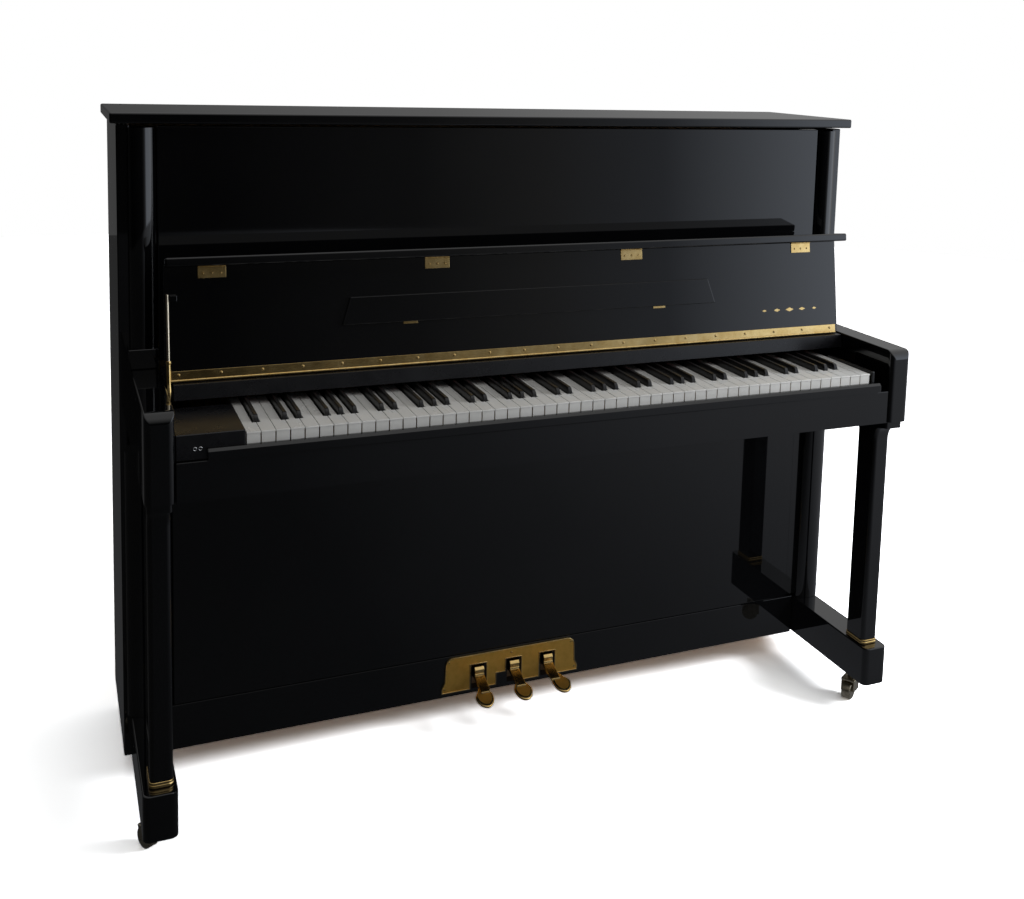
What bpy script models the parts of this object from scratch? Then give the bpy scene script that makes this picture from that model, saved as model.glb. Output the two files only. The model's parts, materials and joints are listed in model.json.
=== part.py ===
"""Upright piano: black gloss case, hinged fall with folding lip and music ledge, three pedals, casters.

Metres. X is the width (bass end negative), Y runs from the player (negative) to the back, Z is up from
the floor. Depths in this file are given from the front edge of the white keys and are shifted by
KEYS_TO_CENTRE when a piece is made, so that the finished piano stands centred on the origin.
"""
import bpy
import bmesh
from math import cos, sin, pi, radians
from mathutils import Matrix, Vector

# ---- overall size ----
KEYS_TO_CENTRE = 0.29175
HEIGHT = 1.240
LID_HALF = 0.7645
LID_FRONT = 0.2660
LID_BACK = 0.5980
LID_UNDER = 1.2212
SIDE_OUT = 0.7535
SIDE_IN = 0.7315
SIDE_FRONT = 0.2910
SIDE_BACK = 0.5940
CASE_BOTTOM = 0.0605

# ---- keyboard ----
WHITE_COUNT = 52
WHITE_PITCH = 1.225 / WHITE_COUNT
KEYBOARD_SHIFT = 0.034
KEYS_LEFT = KEYBOARD_SHIFT - 1.225 / 2
KEYS_RIGHT = KEYBOARD_SHIFT + 1.225 / 2
KEY_TOP = 0.7436
KEY_THICK = 0.0215
KEY_LENGTH = 0.385
BLACK_HEIGHT = 0.0115
BLACK_FRONT = 0.0510
BLACK_HALF = 0.0050
KEY_GAP = 0.0010
BALANCE_PIN = 0.235

# ---- key bed, arms, legs, toes ----
BED_HALF = 0.6875
BED_FRONT = -0.0095
BED_TOP = 0.7065
ARM_IN = 0.6881
ARM_OUT = 0.7351
ARM_TOP = 0.7900
ARM_BOTTOM = 0.6410
ARM_FRONT = -0.0135
ARM_CORNER = 0.0065
LEG_MID = 0.7103
LEG_HALF = 0.0188
LEG_FRONT = 0.0295
LEG_BACK = 0.0840
LEG_CORNER = 0.0085
COVE_SHARE = 0.54
TOE_IN = 0.6855
TOE_OUT = 0.7414
TOE_TOP = 0.1460
TOE_BOTTOM = 0.0650
TOE_FRONT = 0.0090
TOE_CORNER = 0.0120

# ---- fall (key lid) ----
FALL_HALF = 0.6860
FALL_PIVOT = (0.1700, 0.7905)
FALL_LEAN = radians(8.2)
FALL_THICK = 0.0160
FALL_LENGTH = 0.1945
LIP_PIVOT = (0.1935, 0.0018)
LIP_DEEP = 0.0440
LIP_THICK = 0.0157
BUTT_HINGES = (-0.6066, -0.2033, 0.1982, 0.5976)
BUTT_HALF = 0.0235
LEDGE_PIVOT = (0.0765, 0.0034)
LEDGE_HALF_LOW = 0.3832
LEDGE_HALF_HIGH = 0.3677
LEDGE_TOP = 0.1275
ROD_X = -0.6815
DAMPER_FOOT = (0.1560, 0.7640)
DAMPER_ANCHOR = (0.1405, 0.0110)

# ---- pedals ----
PEDALS = (-0.0745, 0.0020, 0.0770)
PAD_FAN = (-0.0050, 0.0015, 0.0115)
PLATE_MID = -0.0030
PLATE_HALF = 0.1418
PLATE_TOP = 0.1437
PLATE_CORNER = 0.0160
SLOT_HALF = 0.0170
SLOT_TOP = 0.1220
PEDAL_NAMES = ("pedal_soft", "pedal_practice", "pedal_sustain")
PEDAL_PIVOT = (0.3500, 0.1040)
PANEL_FRONT = 0.2810

# ---- casters: across, depth, and the way each one trails ----
CASTERS = {
    "front_left": (-0.7200, 0.0900, 118.0),
    "front_right": (0.7170, 0.0900, 212.0),
    "back_left": (-0.7150, 0.5350, 75.0),
    "back_right": (0.7150, 0.5350, 100.0),
}
WHEEL_RADIUS = 0.0190
CASTER_TRAIL = 0.0160

for old in list(bpy.data.objects):
    bpy.data.objects.remove(old, do_unlink=True)

piano = bpy.data.collections.new("upright_piano")
bpy.context.scene.collection.children.link(piano)

COLOURS = {
    "gloss_black": (0.012, 0.012, 0.014, 1.0),
    "brass": (0.78, 0.56, 0.20, 1.0),
    "ivory_white": (0.90, 0.89, 0.85, 1.0),
    "ebony_black": (0.02, 0.02, 0.02, 1.0),
    "spruce": (0.72, 0.53, 0.31, 1.0),
    "beech": (0.62, 0.42, 0.24, 1.0),
    "iron_gold": (0.62, 0.47, 0.20, 1.0),
    "steel": (0.62, 0.63, 0.65, 1.0),
    "felt": (0.80, 0.78, 0.72, 1.0),
}


def paint(thing, slot):
    """Give one object its own material, named after the object, in the colour of its kind."""
    material = bpy.data.materials.new(thing.name + "_" + slot)
    material.use_nodes = True
    shader = material.node_tree.nodes["Principled BSDF"]
    shader.inputs["Base Color"].default_value = COLOURS[slot]
    shader.inputs["Roughness"].default_value = 0.35
    thing.data.materials.clear()
    thing.data.materials.append(material)


def new_object(name, bm, slot="gloss_black", smooth=False):
    """Store a bmesh as a named object of the piano, in world position, with outward faces."""
    bmesh.ops.recalc_face_normals(bm, faces=bm.faces)
    for face in bm.faces:
        face.smooth = smooth
    mesh = bpy.data.meshes.new(name)
    bm.to_mesh(mesh)
    bm.free()
    thing = bpy.data.objects.new(name, mesh)
    piano.objects.link(thing)
    paint(thing, slot)
    return thing


def bake_modifiers(thing):
    """Replace an object's mesh by the result of its modifiers."""
    graph = bpy.context.evaluated_depsgraph_get()
    done = bpy.data.meshes.new_from_object(thing.evaluated_get(graph))
    thing.modifiers.clear()
    thing.data = done
    return thing


def bevel(thing, width, segments=2, angle=40.0):
    """Round the sharp edges of an object."""
    tool = thing.modifiers.new("bevel", "BEVEL")
    tool.width = width
    tool.segments = segments
    tool.limit_method = "ANGLE"
    tool.angle_limit = radians(angle)
    return bake_modifiers(thing)


def combine(thing, other, how="UNION"):
    """Join, cut or intersect one object with another, then drop the other."""
    tool = thing.modifiers.new("combine", "BOOLEAN")
    tool.operation = how
    tool.solver = "EXACT"
    tool.object = other
    bake_modifiers(thing)
    bpy.data.objects.remove(other, do_unlink=True)
    return thing


def block(name, x0, x1, y0, y1, z0, z1, slot="gloss_black", edge=0.0, segments=2):
    """A straight block between two corners, with optional rounded edges."""
    bm = bmesh.new()
    bmesh.ops.create_cube(bm, size=1.0)
    bmesh.ops.scale(bm, vec=(x1 - x0, y1 - y0, z1 - z0), verts=bm.verts)
    middle = ((x0 + x1) / 2, (y0 + y1) / 2 - KEYS_TO_CENTRE, (z0 + z1) / 2)
    bmesh.ops.translate(bm, vec=middle, verts=bm.verts)
    thing = new_object(name, bm, slot)
    if edge:
        bevel(thing, edge, segments)
    return thing


def stack(name, levels, slot="gloss_black"):
    """A post built up through several levels, each (height, outline) with the same number of corners."""
    bm = bmesh.new()
    rings = [[bm.verts.new((x, y - KEYS_TO_CENTRE, height)) for x, y in outline]
             for height, outline in levels]
    bm.faces.new(rings[0])
    bm.faces.new(rings[-1])
    for low, high in zip(rings, rings[1:]):
        for i in range(len(low)):
            bm.faces.new((low[i - 1], low[i], high[i], high[i - 1]))
    return new_object(name, bm, slot)


def prism(name, outline, x0, x1, slot="gloss_black", edge=0.0, segments=2):
    """A bar of constant section along X. The outline is a list of (depth, height)."""
    bm = bmesh.new()
    face = bm.faces.new([bm.verts.new((x0, y - KEYS_TO_CENTRE, z)) for y, z in outline])
    grown = bmesh.ops.extrude_face_region(bm, geom=[face])
    moved = [v for v in grown["geom"] if isinstance(v, bmesh.types.BMVert)]
    bmesh.ops.translate(bm, vec=(x1 - x0, 0, 0), verts=moved)
    thing = new_object(name, bm, slot)
    if edge:
        bevel(thing, edge, segments)
    return thing


def plate(name, outline, y0, y1, slot="gloss_black", edge=0.0):
    """A flat plate standing upright and facing the player. The outline is a list of (across, height)."""
    bm = bmesh.new()
    face = bm.faces.new([bm.verts.new((x, y0 - KEYS_TO_CENTRE, z)) for x, z in outline])
    grown = bmesh.ops.extrude_face_region(bm, geom=[face])
    moved = [v for v in grown["geom"] if isinstance(v, bmesh.types.BMVert)]
    bmesh.ops.translate(bm, vec=(0, y1 - y0, 0), verts=moved)
    thing = new_object(name, bm, slot)
    if edge:
        bevel(thing, edge, 1)
    return thing


def rod(name, start, end, radius, slot="steel", sides=16):
    """A round bar between two points (across, depth, height)."""
    a = Vector(start) - Vector((0, KEYS_TO_CENTRE, 0))
    b = Vector(end) - Vector((0, KEYS_TO_CENTRE, 0))
    bm = bmesh.new()
    bmesh.ops.create_cone(bm, cap_ends=True, segments=sides, radius1=radius, radius2=radius,
                          depth=(b - a).length)
    turn = Vector((0, 0, 1)).rotation_difference(b - a).to_matrix().to_4x4()
    bmesh.ops.transform(bm, matrix=Matrix.Translation((a + b) / 2) @ turn, verts=bm.verts)
    thing = new_object(name, bm, slot)
    for face in thing.data.polygons:
        face.use_smooth = len(face.vertices) == 4
    return thing


def turned(name, centre, profile, slot="brass", sides=20):
    """A turned post about a vertical line. The profile is a list of (radius, height) from the bottom."""
    rings = []
    for radius, height in profile:
        rings.append((height, [(centre[0] + radius * cos(2 * pi * i / sides),
                                centre[1] + radius * sin(2 * pi * i / sides)) for i in range(sides)]))
    return stack(name, rings, slot)


def rounded_front(x0, x1, y_front, y_back, corner, steps=5):
    """Plan outline of a post with two rounded front corners and a square back."""
    points = []
    for x_mid, first in ((x0 + corner, pi), (x1 - corner, 3 * pi / 2)):
        for i in range(steps + 1):
            turn = first + pi / 2 * i / steps
            points.append((x_mid + corner * cos(turn), y_front + corner + corner * sin(turn)))
    return points + [(x1, y_back), (x0, y_back)]


def place_origin(thing, point):
    """Move an object's origin onto its joint without moving its mesh."""
    target = Vector(point) - Vector((0, KEYS_TO_CENTRE, 0))
    thing.data.transform(Matrix.Translation(-target))
    thing.matrix_world = Matrix.Translation(target)


def fall_point(along, proud):
    """Depth and height of a point on the open fall: along it from the hinge, and proud of its inner face."""
    y = FALL_PIVOT[0] + along * sin(FALL_LEAN) - proud * cos(FALL_LEAN)
    z = FALL_PIVOT[1] + along * cos(FALL_LEAN) + proud * sin(FALL_LEAN)
    return y, z


def fall_bar(name, x0, x1, section, slot="gloss_black", edge=0.0, segments=2):
    """A bar of constant section on the open fall. The section is a list of (along, proud)."""
    return prism(name, [fall_point(along, proud) for along, proud in section], x0, x1, slot, edge, segments)


def mirrored(points):
    """The same outline on the other side of the middle plane."""
    return [(-x, y) for x, y in reversed(points)]


# ---- case: lid, sides, columns, panels ----
top_lid = block("top_lid", -LID_HALF, LID_HALF, LID_FRONT, LID_BACK, LID_UNDER, HEIGHT, edge=0.0025)
place_origin(top_lid, (0, LID_BACK, LID_UNDER))

for side, sign in (("left", -1), ("right", 1)):
    x0, x1 = sorted((sign * SIDE_IN, sign * SIDE_OUT))
    block("side_panel_" + side, x0, x1, SIDE_FRONT, SIDE_BACK, CASE_BOTTOM, 1.2180, edge=0.0015)

    upper = [(0.7134 + 0.0225 * cos(pi + pi * i / 14), 0.2885 + 0.0185 * sin(pi + pi * i / 14))
             for i in range(15)]
    upper += [(0.7359, 0.2905), (0.7310, 0.2905), (0.7310, 0.3200), (0.6880, 0.3200), (0.6880, 0.2905)]
    foot = [(0.6885, 0.2672), (0.7390, 0.2672), (0.7390, 0.2906), (0.7310, 0.2906), (0.7310, 0.3200),
            (0.6880, 0.3200), (0.6880, 0.2906), (0.6885, 0.2906)]
    lower = [(0.7190 + 0.0285 * cos(pi + pi * i / 14), 0.2820 + 0.0200 * sin(pi + pi * i / 14))
             for i in range(15)]
    lower += [(0.7475, 0.2905), (0.7310, 0.2905), (0.7310, 0.3180), (0.6680, 0.3180), (0.6680, 0.2860),
              (0.6905, 0.2860)]
    if sign < 0:
        upper, foot, lower = mirrored(upper), mirrored(foot), mirrored(lower)
    column = stack("column_upper_" + side, [(0.8245, upper), (1.2140, upper)])
    combine(column, stack("column_foot", [(0.7905, foot), (0.8255, foot)]))
    column = stack("column_lower_" + side, [(0.1465, lower), (0.6405, lower)])
    x0, x1 = sorted((sign * 0.6600, sign * 0.6856))
    combine(column, block("notch", x0, x1, 0.2700, 0.3300, 0.1300, 0.1478), "DIFFERENCE")

block("panel_upper", -0.6870, 0.6870, PANEL_FRONT, 0.3000, 0.8000, 1.2165, edge=0.0012)
block("panel_lower", -0.6675, 0.6675, PANEL_FRONT, 0.3000, 0.1483, 0.6600, edge=0.0012)
block("back_panel_bottom", -0.7305, 0.7305, 0.3010, 0.5060, 0.0610, 0.0830, "beech")

bottom_rail = block("bottom_rail", -0.6850, 0.6850, PANEL_FRONT, 0.3005, 0.0605, 0.1473, edge=0.0012)
for x in PEDALS:
    combine(bottom_rail, block("slot", x - 0.0130, x + 0.0130, 0.2700, 0.3100, 0.0700, 0.1350), "DIFFERENCE")

# ---- pedal plate with ogee ends and three slots ----
flare = [(0.1497, 0.0700), (0.1497, 0.0795), (0.1470, 0.0860), (0.1435, 0.0930)]
corner = [(PLATE_HALF - PLATE_CORNER * (1 - cos(pi / 2 * i / 4)),
           PLATE_TOP - PLATE_CORNER * (1 - sin(pi / 2 * i / 4))) for i in range(5)]
half_plate = flare + corner
plate_outline = [(PLATE_MID + x, z) for x, z in half_plate]
plate_outline += [(PLATE_MID - x, z) for x, z in reversed(half_plate)]
pedal_plate = plate("pedal_plate", plate_outline, 0.2775, 0.2807, "brass", 0.0008)
for x in PEDALS:
    combine(pedal_plate, block("slot", x - SLOT_HALF, x + SLOT_HALF, 0.2700, 0.2850, 0.0600, SLOT_TOP),
            "DIFFERENCE")
combine(pedal_plate, block("slot", -0.0353, PEDALS[1] + 0.001, 0.2700, 0.2850, 0.0601, 0.0950), "DIFFERENCE")

for name, x, fan in zip(PEDAL_NAMES, PEDALS, PAD_FAN):
    tail = [(0.3900, 0.0960), (0.3900, 0.1100), (0.2900, 0.1150), (0.2740, 0.1185), (0.2700, 0.1130),
            (0.2700, 0.1010), (0.2560, 0.0955), (0.2300, 0.0870), (0.2290, 0.0820), (0.2620, 0.0880),
            (0.2760, 0.0930), (0.2900, 0.0950)]
    pedal = prism(name, tail, x - 0.0100, x + 0.0100, "brass", 0.0012, 1)
    half = [(0.0095, 0.2480), (0.0130, 0.2400), (0.0176, 0.2310), (0.0188, 0.2239), (0.0172, 0.2120),
            (0.0115, 0.2010), (0.0, 0.1960)]
    paddle_plan = [(x + dx, y) for dx, y in half] + [(x - dx, y) for dx, y in reversed(half[:-1])]
    paddle = stack("paddle", [(0.0700, paddle_plan), (0.0780, paddle_plan)], "brass")
    centre = Vector((x, 0.2480 - KEYS_TO_CENTRE, 0.0740))
    tilt = Matrix.Translation(centre + Vector((0, 0, 0.0115))) @ Matrix.Rotation(radians(17), 4, "X")
    paddle.data.transform(tilt @ Matrix.Translation(-centre))
    for vertex in paddle.data.vertices:
        ahead = 0.2620 - KEYS_TO_CENTRE - vertex.co.y
        vertex.co.x += fan * min(1.0, ahead / 0.0370)
    combine(pedal, paddle)
    place_origin(pedal, (x, PEDAL_PIVOT[0], PEDAL_PIVOT[1]))

# ---- key bed, slip, blocks, name board ----
prism("key_bed", [(BED_FRONT, 0.6405), (0.0200, 0.6405), (0.0200, 0.6640), (0.2695, 0.6640),
                  (0.2695, BED_TOP),
                  (BED_FRONT, BED_TOP)], -BED_HALF, BED_HALF, edge=0.0012)
prism("key_slip", [(-0.0145, 0.7070), (-0.0030, 0.7070), (-0.0030, 0.7262), (-0.0110, 0.7262),
                   (-0.0145, 0.7215)], -0.6400, 0.6650, edge=0.0018)
block_left = block("key_block_left", -BED_HALF, KEYS_LEFT - 0.0015, -0.0020, 0.1495, 0.7070, 0.7495,
                   edge=0.0015)
for x in (-0.6580, -0.6497):
    combine(block_left, rod("socket", (x, -0.0045, 0.7255), (x, 0.0050, 0.7255), 0.0028, sides=12))
block("key_block_right", 0.6495, 0.6570, -0.0020, 0.1495, 0.7070, 0.7480, edge=0.0015)
name_board = prism("name_board", [(0.1520, 0.7605), (0.1565, 0.7870), (0.1760, 0.7870), (0.1760, 0.7898),
                                  (0.2800, 0.7898),
                     (0.2800, 0.7750), (0.1700, 0.7750), (0.1700, 0.7605)], -0.6865, 0.6865, edge=0.0006)
combine(name_board, block("notch", -0.7000, -0.6745, 0.1400, 0.1850, 0.7500, 0.8000), "DIFFERENCE")
block("key_felt", KEYS_LEFT, KEYS_RIGHT, 0.1635, 0.1690, 0.7574, 0.7602, "felt")

# ---- arms, legs, toes ----
for side, sign in (("left", -1), ("right", 1)):
    x0, x1 = sorted((sign * ARM_IN, sign * ARM_OUT))
    middle = (x0 + x1) / 2
    half = (x1 - x0) / 2
    roll = [(0.0045 - 0.0190 * sin(pi / 2 * i / 8), 0.7700 + 0.0200 * cos(pi / 2 * i / 8)) for i in range(9)]
    profile = [(0.2905, ARM_BOTTOM), (0.2905, ARM_TOP)] + roll + [(-0.0500, 0.7600), (-0.0500, ARM_BOTTOM)]
    arm = prism("arm_" + side, profile, x0, x1)
    plan = rounded_front(middle - half + 0.0001, middle + half - 0.0001, ARM_FRONT, 0.3100, ARM_CORNER)
    combine(arm, stack("plan", [(0.6000, plan), (0.8000, plan)]), "INTERSECT")

    leg_x = sign * LEG_MID
    slab_x = sign * 0.7116
    leg = rounded_front(leg_x - LEG_HALF, leg_x + LEG_HALF, LEG_FRONT, LEG_BACK, LEG_CORNER)
    slab = rounded_front(slab_x - 0.0200, slab_x + 0.0200, -0.0030, 0.1000, 0.0060)
    levels = [(0.1575, leg)]
    for i in range(7):
        share = COVE_SHARE * (1 - cos(pi / 2 * i / 6))
        height = 0.5910 + 0.0310 * sin(pi / 2 * i / 6)
        levels.append((height, [(a[0] + (b[0] - a[0]) * share, a[1] + (b[1] - a[1]) * share)
                                for a, b in zip(leg, slab)]))
    levels += [(0.6252, slab), (0.6407, slab)]
    stack("leg_" + side, levels)
    ring = rounded_front(leg_x - 0.0202, leg_x + 0.0202, 0.0281, 0.0855, 0.0095)
    stack("leg_ring_" + side, [(0.1463, ring), (0.1570, ring)], "brass")

    toe_x = sorted((sign * TOE_IN, sign * TOE_OUT))
    plan = rounded_front(toe_x[0], toe_x[1], TOE_FRONT, 0.2905, TOE_CORNER)
    toe = stack("toe_" + side, [(TOE_BOTTOM, plan), (TOE_TOP, plan)])
    bevel(toe, 0.0015, 2, 50)

# ---- keys: two joined sets, and one white and one black key that move on their own ----
SINGLE_WHITE = 23
SINGLE_BLACK_AFTER = 23


def has_black(index):
    """White key 0 is the lowest A: black keys follow A, C, D, F and G, none follows the last C."""
    return index % 7 in (0, 2, 3, 5, 6) and 0 <= index < WHITE_COUNT - 1


def white_outline(index):
    """Plan of one white key, with the narrow tail that passes between the black keys."""
    left = KEYS_LEFT + WHITE_PITCH * index + KEY_GAP / 2
    right = left + WHITE_PITCH - KEY_GAP
    cut_right = 0.0062 if has_black(index) else 0.0
    cut_left = 0.0062 if index > 0 and has_black(index - 1) else 0.0
    step = BLACK_FRONT - 0.0012
    outline = [(left, 0.0), (right, 0.0), (right, step)]
    if cut_right:
        outline.append((right - cut_right, step))
    outline += [(right - cut_right, KEY_LENGTH), (left + cut_left, KEY_LENGTH)]
    if cut_left:
        outline.append((left + cut_left, step))
    outline.append((left, step))
    return outline


def clean(outline):
    """An outline without corners that lie on a straight run."""
    kept = []
    count = len(outline)
    for i, point in enumerate(outline):
        before = outline[i - 1]
        after = outline[(i + 1) % count]
        turn = (point[0] - before[0]) * (after[1] - point[1]) - (point[1] - before[1]) * (after[0] - point[0])
        if abs(turn) > 1e-9:
            kept.append(point)
    return kept


def comb(name, outline, z0, z1, slot):
    """A flat comb cut from one sheet: all the keys of a set joined along their back."""
    return stack(name, [(z0, clean(outline)), (z1, clean(outline))], slot)


front_run = []
for index in range(WHITE_COUNT):
    if index == SINGLE_WHITE:
        continue
    left = KEYS_LEFT + WHITE_PITCH * index + KEY_GAP / 2
    right = left + WHITE_PITCH - KEY_GAP
    cut_right = 0.0062 if has_black(index) else 0.0
    cut_left = 0.0062 if index > 0 and has_black(index - 1) else 0.0
    step = BLACK_FRONT - 0.0012
    front_run += [(left + cut_left, 0.3600), (left + cut_left, step), (left, step), (left, 0.0), (right, 0.0),
                  (right, step), (right - cut_right, step), (right - cut_right, 0.3600)]


def distinct(points):
    """The same run of points without immediate repeats."""
    kept = [points[0]]
    for point in points[1:]:
        if abs(point[0] - kept[-1][0]) + abs(point[1] - kept[-1][1]) > 1e-9:
            kept.append(point)
    return kept


white_run = distinct(front_run) + [(KEYS_RIGHT - KEY_GAP / 2, 0.4000), (KEYS_LEFT + KEY_GAP / 2, 0.4000)]
comb("keys_white", white_run, KEY_TOP - KEY_THICK, KEY_TOP, "ivory_white")
single = distinct(white_outline(SINGLE_WHITE))
single = [(x, min(y, 0.3550)) for x, y in single]
comb("key_middle_c", single, KEY_TOP - KEY_THICK, KEY_TOP, "ivory_white")
place_origin(bpy.data.objects["key_middle_c"], (0, BALANCE_PIN, KEY_TOP - KEY_THICK))


def black_bar(name, index, back):
    """One black key: a tapered bar with sloping front, standing between two white keys."""
    x = KEYS_LEFT + WHITE_PITCH * (index + 1)
    bm = bmesh.new()
    bmesh.ops.create_cube(bm, size=1.0)
    for vert in bm.verts:
        high = vert.co.z > 0
        near = vert.co.y < 0
        half = BLACK_HALF - (0.0010 if high else 0.0)
        vert.co.x = x + (half if vert.co.x > 0 else -half)
        vert.co.y = (BLACK_FRONT + (0.0045 if high else 0.0) if near else back) - KEYS_TO_CENTRE
        vert.co.z = KEY_TOP + BLACK_HEIGHT if high else KEY_TOP - 0.0160
    return new_object(name, bm, "ebony_black")


bar = block("keys_black", KEYS_LEFT + 0.001, KEYS_RIGHT - 0.001, 0.1720, 0.2300, KEY_TOP + 0.0005,
            KEY_TOP + 0.0100, "ebony_black")
several = bmesh.new()
for index in range(WHITE_COUNT - 1):
    if has_black(index) and index != SINGLE_BLACK_AFTER:
        key = black_bar("key", index, 0.1900)
        several.from_mesh(key.data)
        bpy.data.objects.remove(key, do_unlink=True)
combine(bar, new_object("all_black", several, "ebony_black"))
cut_x = KEYS_LEFT + WHITE_PITCH * (SINGLE_BLACK_AFTER + 1)
combine(bar, block("cut", cut_x - 0.0062, cut_x + 0.0062, 0.1650, 0.2215, 0.7000, 0.7800), "DIFFERENCE")
black_bar("key_c_sharp", SINGLE_BLACK_AFTER, 0.2200)
place_origin(bpy.data.objects["key_c_sharp"], (0, 0.2150, KEY_TOP - 0.0160))

# ---- fall, hinge, lip, ledge ----
fall = fall_bar("fall", -FALL_HALF, FALL_HALF,
                [(0.0030, -0.0002), (FALL_LENGTH, -0.0002), (FALL_LENGTH, -FALL_THICK), (0.0030, -FALL_THICK)],
                edge=0.0010)
place_origin(fall, (0, *FALL_PIVOT))

leaf = fall_bar("fall_hinge", -0.6800, 0.6800, [(0.0, 0.0), (0.0165, 0.0), (0.0165, 0.0013), (0.0, 0.0013)],
                "brass")
combine(leaf, rod("knuckle", (-0.6800, *FALL_PIVOT), (0.6800, *FALL_PIVOT), 0.0026, "brass", 12))
place_origin(leaf, (0, *FALL_PIVOT))

for number, x in enumerate(BUTT_HINGES, 1):
    name = "lip_hinge_%d" % number
    hinge = fall_bar(name, x - BUTT_HALF, x + BUTT_HALF,
                     [(0.1725, 0.0), (0.1925, 0.0), (0.1925, 0.0012), (0.1725, 0.0012)], "brass")
    y, z = fall_point(*LIP_PIVOT)
    combine(hinge, rod("pin", (x - BUTT_HALF, y, z), (x + BUTT_HALF, y, z), 0.0014, "brass", 10))

lip = fall_bar("fall_lip", -FALL_HALF, FALL_HALF,
               [(0.1951, -FALL_THICK), (0.1951, LIP_DEEP), (0.1951 + LIP_THICK, LIP_DEEP),
                (0.1951 + LIP_THICK, -FALL_THICK)], edge=0.0025)
place_origin(lip, (0, *fall_point(*LIP_PIVOT)))

ledge_low, ledge_high = 0.0780, LEDGE_TOP
bm = bmesh.new()
corners = [(-LEDGE_HALF_LOW, ledge_low), (LEDGE_HALF_LOW, ledge_low), (LEDGE_HALF_HIGH, ledge_high),
           (-LEDGE_HALF_HIGH, ledge_high)]
lower_corners = []
for across, along in corners:
    y, z = fall_point(along, 0.0004)
    lower_corners.append(bm.verts.new((across, y - KEYS_TO_CENTRE, z)))
grown = bmesh.ops.extrude_face_region(bm, geom=[bm.faces.new(lower_corners)])
rise = Vector((0, -cos(FALL_LEAN), sin(FALL_LEAN))) * 0.0060
bmesh.ops.translate(bm, vec=rise, verts=[v for v in grown["geom"] if isinstance(v, bmesh.types.BMVert)])
ledge = bevel(new_object("music_ledge", bm), 0.0012)
place_origin(ledge, (0, *fall_point(*LEDGE_PIVOT)))

# ---- soft-close damper at the bass end of the fall ----
anchor = fall_point(*DAMPER_ANCHOR)
bracket = fall_bar("damper_bracket", -0.6780, -0.6660,
                   [(0.1340, 0.0), (0.1475, 0.0), (0.1460, 0.0150), (0.1355, 0.0150)],
                   edge=0.0008, segments=1)
way = (Vector(anchor) - Vector(DAMPER_FOOT)).normalized()


def along_damper(distance):
    """A point on the damper's line, measured up from its foot."""
    return (ROD_X, DAMPER_FOOT[0] + way[0] * distance, DAMPER_FOOT[1] + way[1] * distance)


reach = (Vector(anchor) - Vector(DAMPER_FOOT)).length
tube = rod("damper_tube", along_damper(-0.0080), along_damper(0.0640), 0.0045, "brass", 20)
combine(tube, rod("bore", along_damper(0.0040), along_damper(0.0700), 0.0029, "brass", 12), "DIFFERENCE")
place_origin(tube, (ROD_X, *DAMPER_FOOT))
rod("damper_rod", along_damper(0.0600), along_damper(reach + 0.0075), 0.0024, "steel", 12)

# ---- casters ----
def turned_block(name, centre, size, heading, slot="brass"):
    """A block turned about the vertical so that its length points along the heading."""
    bm = bmesh.new()
    bmesh.ops.create_cube(bm, size=1.0)
    bmesh.ops.scale(bm, vec=size, verts=bm.verts)
    place = Matrix.Translation((centre[0], centre[1] - KEYS_TO_CENTRE, centre[2]))
    bmesh.ops.transform(bm, matrix=place @ Matrix.Rotation(radians(heading), 4, "Z"), verts=bm.verts)
    return new_object(name, bm, slot)


for name, (x, y, heading) in CASTERS.items():
    top = 0.0645 if name.startswith("front") else 0.0605
    away = Vector((cos(radians(heading)), sin(radians(heading)))) * CASTER_TRAIL
    wheel_x, wheel_y = x + away[0], y + away[1]
    mid_x, mid_y = x + away[0] / 2, y + away[1] / 2
    across = Vector((-away[1], away[0])).normalized()

    fork = turned("caster_" + name, (x, y), [(0.0200, top - 0.0050), (0.0200, top)], "brass", 20)
    combine(fork, turned("post", (x, y), [(0.0080, 0.0410), (0.0080, top - 0.0020)], "brass", 16))
    combine(fork, turned_block("bridge", (mid_x, mid_y, 0.0425), (0.0310, 0.0310, 0.0050), heading))
    for sign in (-1, 1):
        offset = across * 0.0135 * sign
        cheek = turned_block("cheek", (mid_x + offset[0], mid_y + offset[1], 0.0305), (0.0280, 0.0030, 0.0260),
                             heading)
        combine(fork, cheek)
    axle_a = Vector((wheel_x - across[0] * 0.0130, wheel_y - across[1] * 0.0130, WHEEL_RADIUS))
    axle_b = Vector((wheel_x + across[0] * 0.0130, wheel_y + across[1] * 0.0130, WHEEL_RADIUS))
    combine(fork, rod("axle", axle_a, axle_b, 0.0025, "brass", 12))
    place_origin(fork, (x, y, top))

    rim = axle_a.lerp(axle_b, 3 / 26), axle_a.lerp(axle_b, 23 / 26)
    wheel = rod("wheel_" + name, rim[0], rim[1], WHEEL_RADIUS, "brass", 32)
    bevel(wheel, 0.0015, 1, 50)
    combine(wheel, rod("hole", axle_a.lerp(axle_b, -0.5), axle_a.lerp(axle_b, 1.5), 0.0029, "brass", 12),
            "DIFFERENCE")
    place_origin(wheel, (wheel_x, wheel_y, WHEEL_RADIUS))

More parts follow.
